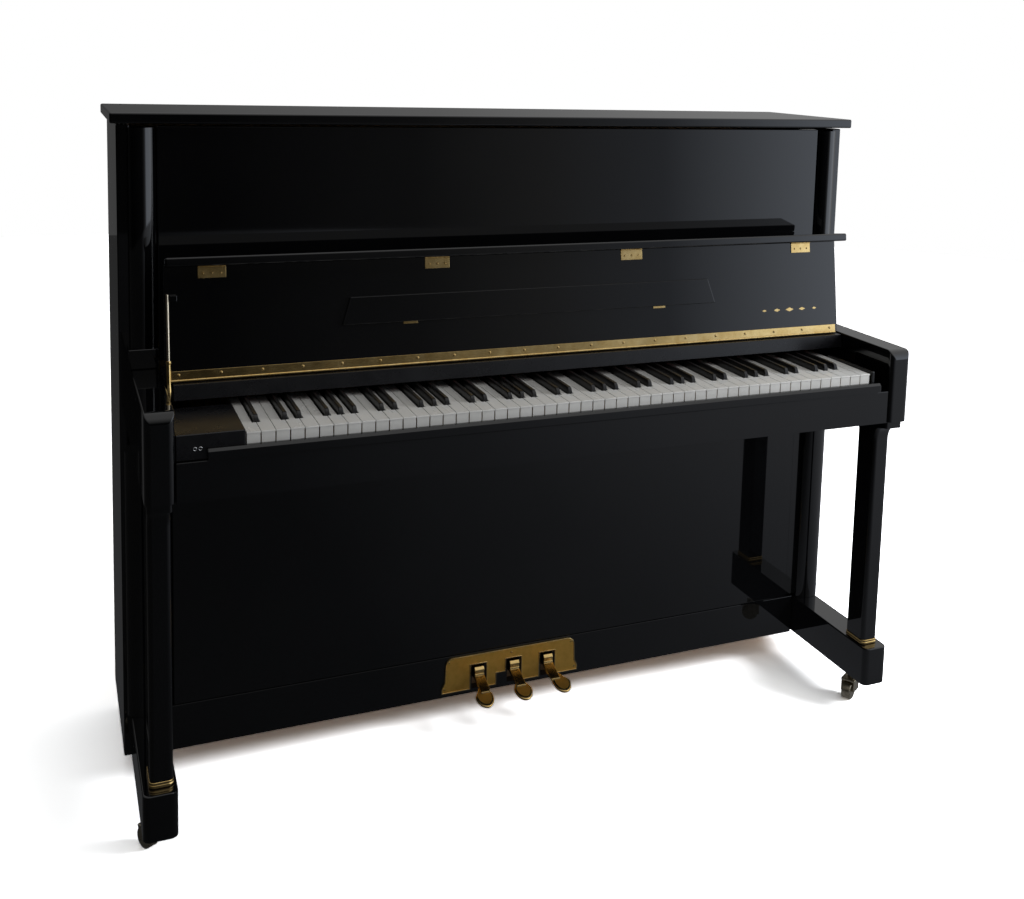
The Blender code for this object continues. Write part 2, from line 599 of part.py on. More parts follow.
# ---- inside: back frame, soundboard, plate, strings, action ----
back = block("back_frame", -0.7305, 0.7305, 0.5200, 0.5900, 0.0620, 0.1500, "spruce")
for x in (-0.7050, -0.4200, -0.1400, 0.1400, 0.4200, 0.7050):
    combine(back, block("post", x - 0.0250, x + 0.0250, 0.5230, 0.5880, 0.1400, 1.1500, "spruce"))
combine(back, block("head", -0.7300, 0.7300, 0.5195, 0.5895, 1.1000, 1.2180, "spruce"))
soundboard = block("soundboard", -0.7300, 0.7300, 0.5080, 0.5180, 0.0900, 1.0900, "spruce")
pin_block = block("pin_block", -0.7290, 0.7290, 0.4700, 0.5175, 1.1000, 1.2150, "beech")
iron = block("iron_plate", -0.7200, 0.7200, 0.4600, 0.4690, 0.0900, 1.2000, "iron_gold")
for x0, x1 in ((-0.66, -0.33), (-0.29, 0.05), (0.09, 0.62)):
    combine(iron, block("window", x0, x1, 0.4500, 0.4800, 0.2200, 1.0000, "iron_gold"), "DIFFERENCE")
strings = block("strings", -0.6600, 0.6400, 0.4500, 0.4530, 0.1500, 0.1580, "steel")
wires = bmesh.new()
STRING_COUNT = 44
for i in range(STRING_COUNT):
    x = -0.6500 + 1.2800 * i / (STRING_COUNT - 1)
    wire = block("wire", x - 0.0008, x + 0.0008, 0.4506, 0.4524, 0.1520, 1.0960, "steel")
    wires.from_mesh(wire.data)
    bpy.data.objects.remove(wire, do_unlink=True)
combine(strings, new_object("wires", wires, "steel"))
combine(strings, block("nut", -0.6610, 0.6410, 0.4502, 0.4528, 1.0900, 1.0980, "steel"))
rail = prism("hammer_rail", [(0.3900, 0.9000), (0.4100, 0.9000), (0.4100, 0.9160), (0.3900, 0.9160)],
             -0.6500, 0.6500, "beech")
hammers = bmesh.new()
for i in range(STRING_COUNT):
    x = -0.6400 + 1.2600 * i / (STRING_COUNT - 1)
    shank = prism("hammer", [(0.3950, 0.9100), (0.4050, 0.9100), (0.4050, 1.0000), (0.4280, 1.0040),
                             (0.4280, 1.0240), (0.3950, 1.0200)], x - 0.0045, x + 0.0045, "felt")
    hammers.from_mesh(shank.data)
    bpy.data.objects.remove(shank, do_unlink=True)
combine(rail, new_object("all_hammers", hammers, "felt"))
block("action_rail", -0.7000, 0.7000, 0.3400, 0.3700, 0.8700, 0.9000, "beech")
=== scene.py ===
"""Looks of the upright piano: lacquer, brass, keys, fittings, floor, lights and camera.

Metres. X runs from the bass end to the treble end, Y from the player to the back, Z up.
Depths of the front parts are written from the front edge of the white keys, as the CAD writes them.
"""
import json
import random
from math import asin, cos, pi, radians, sin, sqrt

import bmesh
import bpy
from mathutils import Matrix, Vector


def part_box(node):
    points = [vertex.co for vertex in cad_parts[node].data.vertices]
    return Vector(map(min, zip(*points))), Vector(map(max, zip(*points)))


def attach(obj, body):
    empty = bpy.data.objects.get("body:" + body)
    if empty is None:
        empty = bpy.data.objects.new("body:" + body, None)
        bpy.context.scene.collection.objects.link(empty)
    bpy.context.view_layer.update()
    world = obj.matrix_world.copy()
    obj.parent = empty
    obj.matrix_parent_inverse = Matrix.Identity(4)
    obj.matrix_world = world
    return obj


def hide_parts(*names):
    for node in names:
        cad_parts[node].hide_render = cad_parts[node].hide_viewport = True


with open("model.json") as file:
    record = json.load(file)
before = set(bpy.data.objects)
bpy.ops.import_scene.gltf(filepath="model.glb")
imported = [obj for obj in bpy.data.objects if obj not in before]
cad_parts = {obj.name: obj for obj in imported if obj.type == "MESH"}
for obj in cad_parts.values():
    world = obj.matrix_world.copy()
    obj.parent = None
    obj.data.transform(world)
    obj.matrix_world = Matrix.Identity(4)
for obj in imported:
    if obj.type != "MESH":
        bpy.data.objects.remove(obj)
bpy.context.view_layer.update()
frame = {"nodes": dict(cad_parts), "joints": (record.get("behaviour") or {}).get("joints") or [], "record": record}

record = frame["record"]
JOINTS = {joint["name"]: joint for joint in frame["joints"]}
BODY_OF = {node: body for body, nodes in record["behaviour"]["bodies"].items() for node in nodes}
SLOT_OF = {part["node"]: part["material_slot"] for part in record["subparts"]}
KEY_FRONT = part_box("keys_white")[0].y

# ---- keyboard ----
WHITE_COUNT = 52
KEYS_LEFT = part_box("keys_white")[0].x - 0.0005
KEYS_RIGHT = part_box("keys_white")[1].x + 0.0005
WHITE_PITCH = (KEYS_RIGHT - KEYS_LEFT) / WHITE_COUNT
KEY_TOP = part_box("keys_white")[1].z
KEY_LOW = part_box("keys_white")[0].z
BLACK_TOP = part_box("keys_black")[1].z
BLACK_FRONT = 0.0510
BLACK_CUT = 0.0062
BLACK_BELOW = 0.006
COVER_THICK = 0.0028
COVER_END = 0.2050
SINGLE_WHITE = 23
SINGLE_BLACK_AFTER = 23

# ---- fall ----
FALL_LEAN = radians(8.2)
FALL_PIVOT = Vector(JOINTS["fall_closes"]["pos_m"])
FALL_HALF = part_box("fall")[1].x
FALL_THICK = 0.0160
FALL_LENGTH = 0.1945
LIP_ALONG = (0.1951, 0.2108)
LIP_DEEP = 0.0440
LIP_KNUCKLE = (0.1935, 0.0018)
BUTT_BOXES = [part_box("lip_hinge_%d" % number) for number in (1, 2, 3, 4)]
BUTT_HINGES = [(low.x + high.x) / 2 for low, high in BUTT_BOXES]
BUTT_HALF = (BUTT_BOXES[0][1].x - BUTT_BOXES[0][0].x) / 2
LONG_HINGE_HALF = 0.6798
LONG_HINGE_KNUCKLES = 90
LEDGE_ALONG = (0.0780, 0.1275)
LEDGE_HALF = (0.3832, 0.3677)
LEDGE_RISE = (0.0004, 0.0064)
LEDGE_HINGES = (-0.2570, 0.2570)
INLAY_MID = 0.5665
INLAY_PITCH = 0.0310
INLAY_ALONG = 0.0540
INLAY_THICK = 0.0004

# ---- posts ----
COLUMN_MID = 0.7134
COLUMN_HALF = 0.0225
COLUMN_BACK = 0.2903
LOWER_MID = 0.7190
LOWER_HALF = 0.0285
LEG_MID = 0.7103
LEG_HALF = 0.0188
LEG_FRONT = 0.0295
LEG_BACK = 0.0840
LEG_CORNER = 0.0085
SLAB_MID = 0.7116
SLAB_HALF = 0.0200
SLAB_FRONT = -0.0030
SLAB_BACK = 0.1000
SLAB_CORNER = 0.0060
SLAB_LOW = 0.6252
COVE_SHARE = 0.54
COVE_LOW = 0.5910
COVE_RISE = 0.0310
ARM_FRONT = -0.0135
ARM_CORNER = 0.0105
ARM_ROLL_START = 0.0045
ARM_ROLL_REACH = 0.0180
ARM_ROLL_DROP = 0.0200
RING_HALF = 0.0202
RING_FRONT = 0.0281
RING_BACK = 0.0855
RING_CORNER = 0.0095
# share of the ring's height, and how far its surface steps in there
RING_PROFILE = ((0, 0.0012), (0.05, 0.0006), (0.14, 0.0002), (0.30, 0.0), (0.44, 0.0002), (0.50, 0.0007),
                (0.56, 0.0010), (0.64, 0.0009), (0.76, 0.0005), (0.88, 0.0007), (1, 0.0014))
TOE_FRONT = 0.0090
TOE_BACK = 0.2905
TOE_CORNER = 0.0120

# ---- pedals and their plate: where each pedal is across, and how far its pad fans to the side ----
PEDALS = {"pedal_soft": (-0.0745, -0.0050),
          "pedal_practice": (0.0020, 0.0015),
          "pedal_sustain": (0.0770, 0.0115)}
PAD_HINGE = (0.2480, 0.0855)
PAD_TILT = radians(17)
PAD_WIDEST = 0.2239
PAD_FRONT = 0.1960
PAD_HALF = 0.0188
PLATE_MID = -0.0030
PLATE_HALF = 0.1418
PLATE_TOP = 0.1437
PLATE_LOW = 0.0700
PLATE_CORNER = 0.0160
PLATE_DEPTH = (0.2775, 0.2807)
SLOT_HALF = 0.0170
SLOT_TOP = 0.1220
NOTCH = (-0.0353, 0.0950)

# ---- casters: across, depth and heading of each trailing wheel ----
CASTERS = {"front_left": (-0.7200, 0.0900, 118.0), "front_right": (0.7170, 0.0900, 212.0),
           "back_left": (-0.7150, 0.5350, 75.0), "back_right": (0.7150, 0.5350, 100.0)}
CASTER_TRAIL = 0.0160
WHEEL_RADIUS = 0.0190
TREAD_RADIUS = 0.01899

# ---- soft-close damper, on a line from its foot to its bracket ----
ROD_X = -0.6815
DAMPER_FOOT = (0.1560, 0.7640)
DAMPER_ANCHOR = (0.1405, 0.0110)

# ---- studio: brightness that gloss sees, by direction from left to right ----
GLOSS_STRENGTH = 2.0
WORLD_SOFT = 0.12
FLOOR_GAIN = 4.9
WORLD_FRONT = [(0.0, 0.0), (0.56, 0.006), (0.64, 0.030), (0.69, 0.080), (0.735, (0.14, 0.15, 0.17)),
               (0.765, (0.36, 0.39, 0.44)), (0.80, (0.68, 0.74, 0.84)), (1.0, (0.72, 0.77, 0.85))]
WORLD_BACK = [(0.0, 0.007), (0.30, 0.008), (0.45, 0.021), (0.50, 0.036), (0.65, 0.060), (0.80, 0.120),
              (1.0, 0.17)]
WORLD_TOP = [(0.0, 0.10), (0.40, 0.22), (0.65, 0.38), (1.0, 0.55)]
# the floor glows for gloss rays alone: a painted reflection in the lacquer, dim on the left and brighter towards
# the right
FLOOR_PAINTED_REFLECTION = [(0.0, 0.025), (0.17, 0.025), (0.30, (0.048, 0.050, 0.054)), (0.42, (0.125, 0.130, 0.142)),
               (0.52, (0.225, 0.235, 0.258)), (0.60, (0.290, 0.300, 0.325)), (1.0, (0.430, 0.450, 0.485))]

# ---- camera ----
SENSOR_MM = 36.0
LENS_MM = 42.473320313
LENS_SHIFT = (-0.060605469, -0.240498047)
CAMERA_X = -0.8685
CAMERA_DEPTH = -1.9261
CAMERA_HEIGHT = 1.3548
RIGHT = Vector((0.91554114, -0.40104231, 0.0308136))
UP = Vector((0.01968869, 0.12119975, 0.99243286))
FORWARD = Vector((0.40174217, 0.90800643, -0.11885935))

# ---- places: the fall's own frame (across, along, proud), and a turn that points local Z at the player ----
FALL = Matrix((
    (1, 0, 0, FALL_PIVOT.x),
    (0, sin(FALL_LEAN), -cos(FALL_LEAN), FALL_PIVOT.y),
    (0, cos(FALL_LEAN), sin(FALL_LEAN), FALL_PIVOT.z),
    (0, 0, 0, 1),
))
FACE_OUT = Matrix(((1, 0, 0, 0), (0, 0, -1, 0), (0, 1, 0, 0), (0, 0, 0, 1)))


# ---------------------------------------------------------------- materials
def shader_of(name, metallic=0.0, ior=1.5):
    """A new material with its tree and its Principled shader."""
    material = bpy.data.materials.new(name)
    material.use_nodes = True
    tree = material.node_tree
    shader = tree.nodes["Principled BSDF"]
    shader.inputs["Metallic"].default_value = metallic
    shader.inputs["IOR"].default_value = ior
    return material, tree, shader


def noise(tree, scale, detail=3.0, rough=0.5, stretch=(1, 1, 1)):
    """Noise in the piece's own coordinates, so it moves with the piece. Scale is in features a metre."""
    place = tree.nodes.new("ShaderNodeTexCoord")
    mapping = tree.nodes.new("ShaderNodeMapping")
    mapping.inputs["Scale"].default_value = stretch
    texture = tree.nodes.new("ShaderNodeTexNoise")
    texture.inputs["Scale"].default_value = scale
    texture.inputs["Detail"].default_value = detail
    texture.inputs["Roughness"].default_value = rough
    tree.links.new(place.outputs["Object"], mapping.inputs["Vector"])
    tree.links.new(mapping.outputs["Vector"], texture.inputs["Vector"])
    return texture.outputs["Fac"]


def ramp(tree, value, stops):
    """Colours or greys picked by a value. Each stop is (place, colour)."""
    node = tree.nodes.new("ShaderNodeValToRGB")
    tree.links.new(value, node.inputs["Fac"])
    elements = node.color_ramp.elements
    while len(elements) < len(stops):
        elements.new(0.5)
    for element, (place, colour) in zip(elements, stops):
        element.position = place
        element.color = (*colour, 1.0) if isinstance(colour, tuple) else (colour, colour, colour, 1.0)
    return node.outputs["Color"]


def bump(tree, shader, height, strength, distance):
    """Adds a height to the shader's normal, on top of any bump that is already there."""
    node = tree.nodes.new("ShaderNodeBump")
    node.inputs["Strength"].default_value = strength
    node.inputs["Distance"].default_value = distance
    tree.links.new(height, node.inputs["Height"])
    before = shader.inputs["Normal"]
    if before.is_linked:
        tree.links.new(before.links[0].from_socket, node.inputs["Normal"])
    tree.links.new(node.outputs["Normal"], before)


def surface(name, colours, roughs, scale, metallic=0.0, ior=1.5, stretch=(1, 1, 1), bumps=(), detail=4.0):
    """A material whose colour and roughness drift between two ends, with layers of fine relief.

    Each bump layer is (scale, stretch, strength, distance).
    """
    material, tree, shader = shader_of(name, metallic, ior)
    drift = noise(tree, scale, detail, 0.55, stretch)
    tree.links.new(ramp(tree, drift, [(0.30, colours[0]), (0.70, colours[1])]), shader.inputs["Base Color"])
    patches = noise(tree, scale * 0.37, 5.0, 0.6, stretch)
    tree.links.new(ramp(tree, patches, [(0.25, roughs[0]), (0.75, roughs[1])]), shader.inputs["Roughness"])
    for layer_scale, layer_stretch, strength, distance in bumps:
        bump(tree, shader, noise(tree, layer_scale, 2.0, 0.5, layer_stretch), strength, distance)
    return material


def lacquer(name):
    """Black polyester gloss: nearly a mirror, with faint waves, orange peel and drifting haze."""
    material, tree, shader = shader_of(name, ior=1.52)
    tone = noise(tree, 4.0, 3.0)
    tree.links.new(ramp(tree, tone, [(0.30, (0.0016, 0.0017, 0.0021)), (0.72, (0.0030, 0.0031, 0.0036))]),
                   shader.inputs["Base Color"])
    haze = noise(tree, 2.3, 6.0, 0.62, (1.0, 1.0, 2.2))
    tree.links.new(ramp(tree, haze, [(0.32, 0.018), (0.58, 0.035), (0.80, 0.085)]),
                   shader.inputs["Roughness"])
    shader.inputs["Coat Weight"].default_value = 0.25
    shader.inputs["Coat Roughness"].default_value = 0.02
    bump(tree, shader, noise(tree, 3.2, 1.0), 0.06, 0.0006)
    bump(tree, shader, noise(tree, 620.0, 2.0), 0.018, 0.00006)
    return material


def timber(name, light, dark, along, scale=28.0, roughs=(0.42, 0.62)):
    """Wood with fine growth lines. Along is the axis number that the grain follows."""
    stretch = [1.0, 1.0, 1.0]
    stretch[along] = 0.035
    material, tree, shader = shader_of(name)
    lines = noise(tree, scale * 3.4, 5.0, 0.62, stretch)
    broad = noise(tree, scale * 0.5, 2.0, 0.5, stretch)
    mix = tree.nodes.new("ShaderNodeMix")
    mix.data_type = "RGBA"
    mix.blend_type = "MULTIPLY"
    mix.inputs["Factor"].default_value = 0.75
    middle = tuple((a + b) / 2 for a, b in zip(light, dark))
    tree.links.new(ramp(tree, lines, [(0.30, dark), (0.48, middle), (0.62, light)]), mix.inputs["A"])
    tree.links.new(ramp(tree, broad, [(0.25, (0.78, 0.74, 0.70)), (0.75, (1.0, 1.0, 1.0))]),
                   mix.inputs["B"])
    tree.links.new(mix.outputs["Result"], shader.inputs["Base Color"])
    tree.links.new(ramp(tree, lines, [(0.3, roughs[1]), (0.7, roughs[0])]), shader.inputs["Roughness"])
    bump(tree, shader, lines, 0.25, 0.0002)
    return material


def felt(name, light, dark):
    """Pressed wool felt: soft, matt and slightly hairy."""
    material = surface(name, (dark, light), (0.88, 0.98), 160.0, bumps=[(900.0, (1, 1, 1), 0.5, 0.0004),
                                                                     (2600.0, (1, 1, 1), 0.4, 0.0002)])
    shader = material.node_tree.nodes["Principled BSDF"]
    shader.inputs["Sheen Weight"].default_value = 0.45
    shader.inputs["Sheen Roughness"].default_value = 0.4
    return material


ALL = (1, 1, 1)
LACQUER = lacquer("black_gloss_lacquer")
BRASS = surface("polished_brass", ((0.70, 0.47, 0.17), (0.86, 0.63, 0.28)), (0.13, 0.27), 55.0, 1.0,
                bumps=[(900.0, (0.06, 1, 1), 0.05, 0.00005), (140.0, ALL, 0.05, 0.0002)])
BRASS_SATIN = surface("sandblasted_brass", ((0.84, 0.49, 0.100), (0.96, 0.58, 0.135)), (0.40, 0.52), 70.0,
                      1.0, bumps=[(2400.0, ALL, 0.35, 0.0002), (380.0, ALL, 0.12, 0.0002)])
BRASS_DARK = surface("brass_screw", ((0.42, 0.27, 0.09), (0.66, 0.46, 0.19)), (0.20, 0.36), 240.0, 1.0,
                     bumps=[(1500.0, ALL, 0.1, 0.0001)])
WARM_PLATE = surface("warm_plated_rod", ((0.84, 0.72, 0.52), (0.94, 0.83, 0.64)), (0.24, 0.36), 120.0, 1.0,
                     bumps=[(1500.0, (1, 1, 0.05), 0.06, 0.0001)])
ANTIQUE = surface("antique_brass", ((0.36, 0.31, 0.22), (0.60, 0.54, 0.42)), (0.22, 0.40), 160.0, 1.0,
                  bumps=[(900.0, ALL, 0.1, 0.0001)])
SATIN_LACQUER = surface("satin_lacquer", ((0.004, 0.004, 0.005), (0.008, 0.008, 0.009)), (0.24, 0.32), 40.0,
                        bumps=[(1400.0, ALL, 0.04, 0.0001)])
IVORY = surface("white_key_cover", ((0.79, 0.785, 0.755), (0.86, 0.855, 0.83)), (0.20, 0.34), 24.0, 0.0,
                1.49, (1, 0.25, 1), [(1300.0, (1, 0.12, 1), 0.04, 0.00008), (95.0, ALL, 0.03, 0.0002)])
EBONY = surface("black_key_cover", ((0.006, 0.006, 0.0065), (0.014, 0.0135, 0.013)), (0.24, 0.40), 60.0,
                0.0, 1.5, (1, 0.1, 1), [(900.0, (1, 0.05, 1), 0.12, 0.00015)])
KEY_WOOD = timber("key_stick_wood", (0.62, 0.46, 0.27), (0.40, 0.27, 0.14), 1)
CHROME = surface("bright_chrome", ((0.62, 0.63, 0.65), (0.74, 0.75, 0.77)), (0.06, 0.14), 90.0, 1.0,
                 bumps=[(700.0, ALL, 0.03, 0.00005)])
STEEL = surface("drawn_steel", ((0.36, 0.36, 0.38), (0.52, 0.52, 0.54)), (0.28, 0.42), 120.0, 1.0,
                bumps=[(1500.0, (1, 1, 0.05), 0.1, 0.0001)])
SPRUCE = timber("spruce_upright", (0.63, 0.45, 0.25), (0.44, 0.28, 0.13), 2)
SPRUCE_BOARD = timber("spruce_soundboard", (0.66, 0.44, 0.20), (0.50, 0.30, 0.12), 2, 46.0, (0.30, 0.45))
BEECH = timber("beech_lengthwise", (0.50, 0.33, 0.19), (0.36, 0.22, 0.12), 0, 40.0)
FELT = felt("white_felt", (0.74, 0.72, 0.66), (0.60, 0.57, 0.50))
RED_FELT = felt("red_felt", (0.36, 0.025, 0.03), (0.22, 0.012, 0.016))
IRON = surface("bronzed_iron", ((0.42, 0.29, 0.10), (0.58, 0.42, 0.18)), (0.34, 0.50), 30.0, 0.75,
               bumps=[(260.0, ALL, 0.35, 0.0006), (1100.0, ALL, 0.2, 0.0002)])
SATIN_BLACK = surface("satin_black_metal", ((0.006, 0.006, 0.007), (0.014, 0.014, 0.015)), (0.30, 0.44),
                      80.0, bumps=[(1600.0, ALL, 0.12, 0.0001)])
# near-black disc set in each socket's hole: painted shade of the open bore
DARK_BORE = surface("socket_bore", ((0.002, 0.002, 0.002), (0.006, 0.006, 0.006)), (0.4, 0.6), 200.0)

FINISH = {"black_lacquer": LACQUER, "brass": BRASS, "ivory": IVORY, "ebony": EBONY, "chrome": CHROME,
          "steel_wire": STEEL, "spruce": SPRUCE, "beech": BEECH, "hammer_felt": FELT, "red_felt": RED_FELT,
          "iron": IRON, "bracket_black": SATIN_BLACK}
NODE_FINISH = {"soundboard": SPRUCE_BOARD, "name_board": SATIN_LACQUER}
for node, thing in frame["nodes"].items():
    for slot in thing.material_slots:
        slot.material = NODE_FINISH.get(node, FINISH[SLOT_OF[node]])


# ---------------------------------------------------------------- mesh helpers
def piece(name, bm, finish, node, replace=True, angle=34.0, flat_sides=True):
    """Stores a mesh as a piece that rides where a CAD node rides, and by default stands for that node."""
    bmesh.ops.recalc_face_normals(bm, faces=bm.faces)
    mesh = bpy.data.meshes.new(name)
    bm.to_mesh(mesh)
    bm.free()
    mesh.polygons.foreach_set("use_smooth", [True] * len(mesh.polygons))
    mesh.set_sharp_from_angle(angle=radians(angle))
    thing = bpy.data.objects.new(name, mesh)
    bpy.context.scene.collection.objects.link(thing)
    thing.data.materials.append(finish)
    if flat_sides:
        weigh = thing.modifiers.new("even_normals", "WEIGHTED_NORMAL")
        weigh.keep_sharp = True
        weigh.weight = 80
    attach(thing, BODY_OF[node])
    if replace:
        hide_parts(node)
    return thing


def merge(bm, part, place=None):
    """Adds one mesh to another, moved by a matrix, and drops it."""
    if place is not None:
        bmesh.ops.transform(part, matrix=place, verts=part.verts)
    carrier = bpy.data.meshes.new("carrier")
    part.to_mesh(carrier)
    part.free()
    bm.from_mesh(carrier)
    bpy.data.meshes.remove(carrier)
    return bm


def round_edges(bm, radius, segments, angle=30.0):
    """Rounds every edge that is sharper than the angle."""
    edges = [e for e in bm.edges if len(e.link_faces) == 2 and e.calc_face_angle(0.0) > radians(angle)]
    bmesh.ops.bevel(bm, geom=edges, offset=radius, segments=segments, profile=0.5, affect="EDGES",
                    clamp_overlap=True)


def block(bm, low, high, radius, segments=3, place=None):
    """A straight block between two corners with rounded edges."""
    part = bmesh.new()
    low, high = Vector(low), Vector(high)
    bmesh.ops.create_cube(part, size=1.0)
    bmesh.ops.scale(part, vec=high - low, verts=part.verts)
    bmesh.ops.translate(part, vec=(low + high) / 2, verts=part.verts)
    if radius:
        round_edges(part, radius, segments)
    return merge(bm, part, place)


def loft(bm, rings, caps=True, place=None):
    """A skin through closed rings with the same number of points."""
    part = bmesh.new()
    made = [[part.verts.new(point) for point in ring] for ring in rings]
    for low, high in zip(made, made[1:]):
        for i in range(len(low)):
            part.faces.new((low[i - 1], low[i], high[i], high[i - 1]))
    if caps:
        part.faces.new(made[0])
        part.faces.new(made[-1])
    return merge(bm, part, place)


def turned(bm, start, way, profile, sides=24, caps=True):
    """A turned shape about a line. The profile is a list of (distance along, radius)."""
    way = Vector(way).normalized()
    side = way.orthogonal().normalized()
    other = way.cross(side)
    rings = []
    for distance, radius in profile:
        centre = Vector(start) + way * distance
        rings.append([centre + (side * cos(2 * pi * i / sides) + other * sin(2 * pi * i / sides)) * radius
                      for i in range(sides)])
    return loft(bm, rings, caps)


def outline_block(bm, outline, rise, radius=0.0, segments=2, place=None, top_only=False):
    """A plate: an outline (list of 3-D points in one plane) grown by a vector, with rounded edges."""
    part = bmesh.new()
    face = part.faces.new([part.verts.new(point) for point in outline])
    grown = bmesh.ops.extrude_face_region(part, geom=[face])
    moved = [v for v in grown["geom"] if isinstance(v, bmesh.types.BMVert)]
    bmesh.ops.translate(part, vec=rise, verts=moved)
    bmesh.ops.recalc_face_normals(part, faces=part.faces)
    if radius:
        moved = set(moved)
        edges = [e for e in part.edges if e.calc_face_angle(0.0) > radians(30)
                 and (not top_only or all(v in moved for v in e.verts))]
        bmesh.ops.bevel(part, geom=edges, offset=radius, segments=segments, profile=0.5, affect="EDGES",
                        clamp_overlap=True)
    return merge(bm, part, place)


def dome_screw(bm, place, radius, height):
    """An oval-head screw with a round recess in its top. Local Z points out of the surface."""
    part = bmesh.new()
    profile = [(-height * 0.3, radius * 0.96), (0.0, radius)]
    for i in range(1, 5):
        turn = pi / 2 * i / 5
        profile.append((height * sin(turn), radius * cos(turn)))
    profile += [(height * 0.97, radius * 0.20), (height * 0.45, radius * 0.14)]
    turned(part, (0, 0, 0), (0, 0, 1), profile, 18)
    return merge(bm, part, place)


def at(x, depth, z):
    """A point whose depth is written from the front edge of the white keys."""
    return Vector((x, depth + KEY_FRONT, z))


def rounded_plan(low, high, front, back, corner, steps=10, back_corner=0.0015):
    """Plan of a post with rounded front corners and small rounded back corners."""
    points = []
    for x, y, radius, first in ((low + corner, front + corner, corner, pi),
                                (high - corner, front + corner, corner, 1.5 * pi),
                                (high - back_corner, back - back_corner, back_corner, 0.0),
                                (low + back_corner, back - back_corner, back_corner, pi / 2)):
        for i in range(steps + 1):
            turn = first + pi / 2 * i / steps
            points.append((x + radius * cos(turn), y + radius * sin(turn)))
    return points


def half_round_plan(mid, half, middle, bulge, steps=44):
    """Plan of a column: a half-round front, then straight sides to a flat back."""
    arc = [(mid + half * cos(pi + pi * i / steps), middle + bulge * sin(pi + pi * i / steps))
           for i in range(steps + 1)]
    return arc + [(mid + half, COLUMN_BACK), (mid - half, COLUMN_BACK)]


def between(first, second, share):
    """The outline that lies a share of the way from one plan to another."""
    return [(a[0] + (b[0] - a[0]) * share, a[1] + (b[1] - a[1]) * share) for a, b in zip(first, second)]


def rounded_section(half, low, high, top_radius, low_radius, steps=4):
    """Cross-section of a bar with rounded corners: a list of (across, height)."""
    points = []
    for cx, cz, radius, first in ((half - top_radius, high - top_radius, top_radius, 0.0),
                                  (-half + top_radius, high - top_radius, top_radius, pi / 2),
                                  (-half + low_radius, low + low_radius, low_radius, pi),
                                  (half - low_radius, low + low_radius, low_radius, 3 * pi / 2)):
        for i in range(steps + 1):
            turn = first + pi / 2 * i / steps
            points.append((cx + radius * cos(turn), cz + radius * sin(turn)))
    return points


# ---------------------------------------------------------------- case
BOARDS = {"top_lid": 0.0032, "side_panel_left": 0.0022, "side_panel_right": 0.0022, "panel_upper": 0.0016,
          "panel_lower": 0.0020, "key_block_right": 0.0018}
for node, radius in BOARDS.items():
    board = bmesh.new()
    block(board, *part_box(node), radius, 4)
    piece(node + "_gloss", board, LACQUER, node)

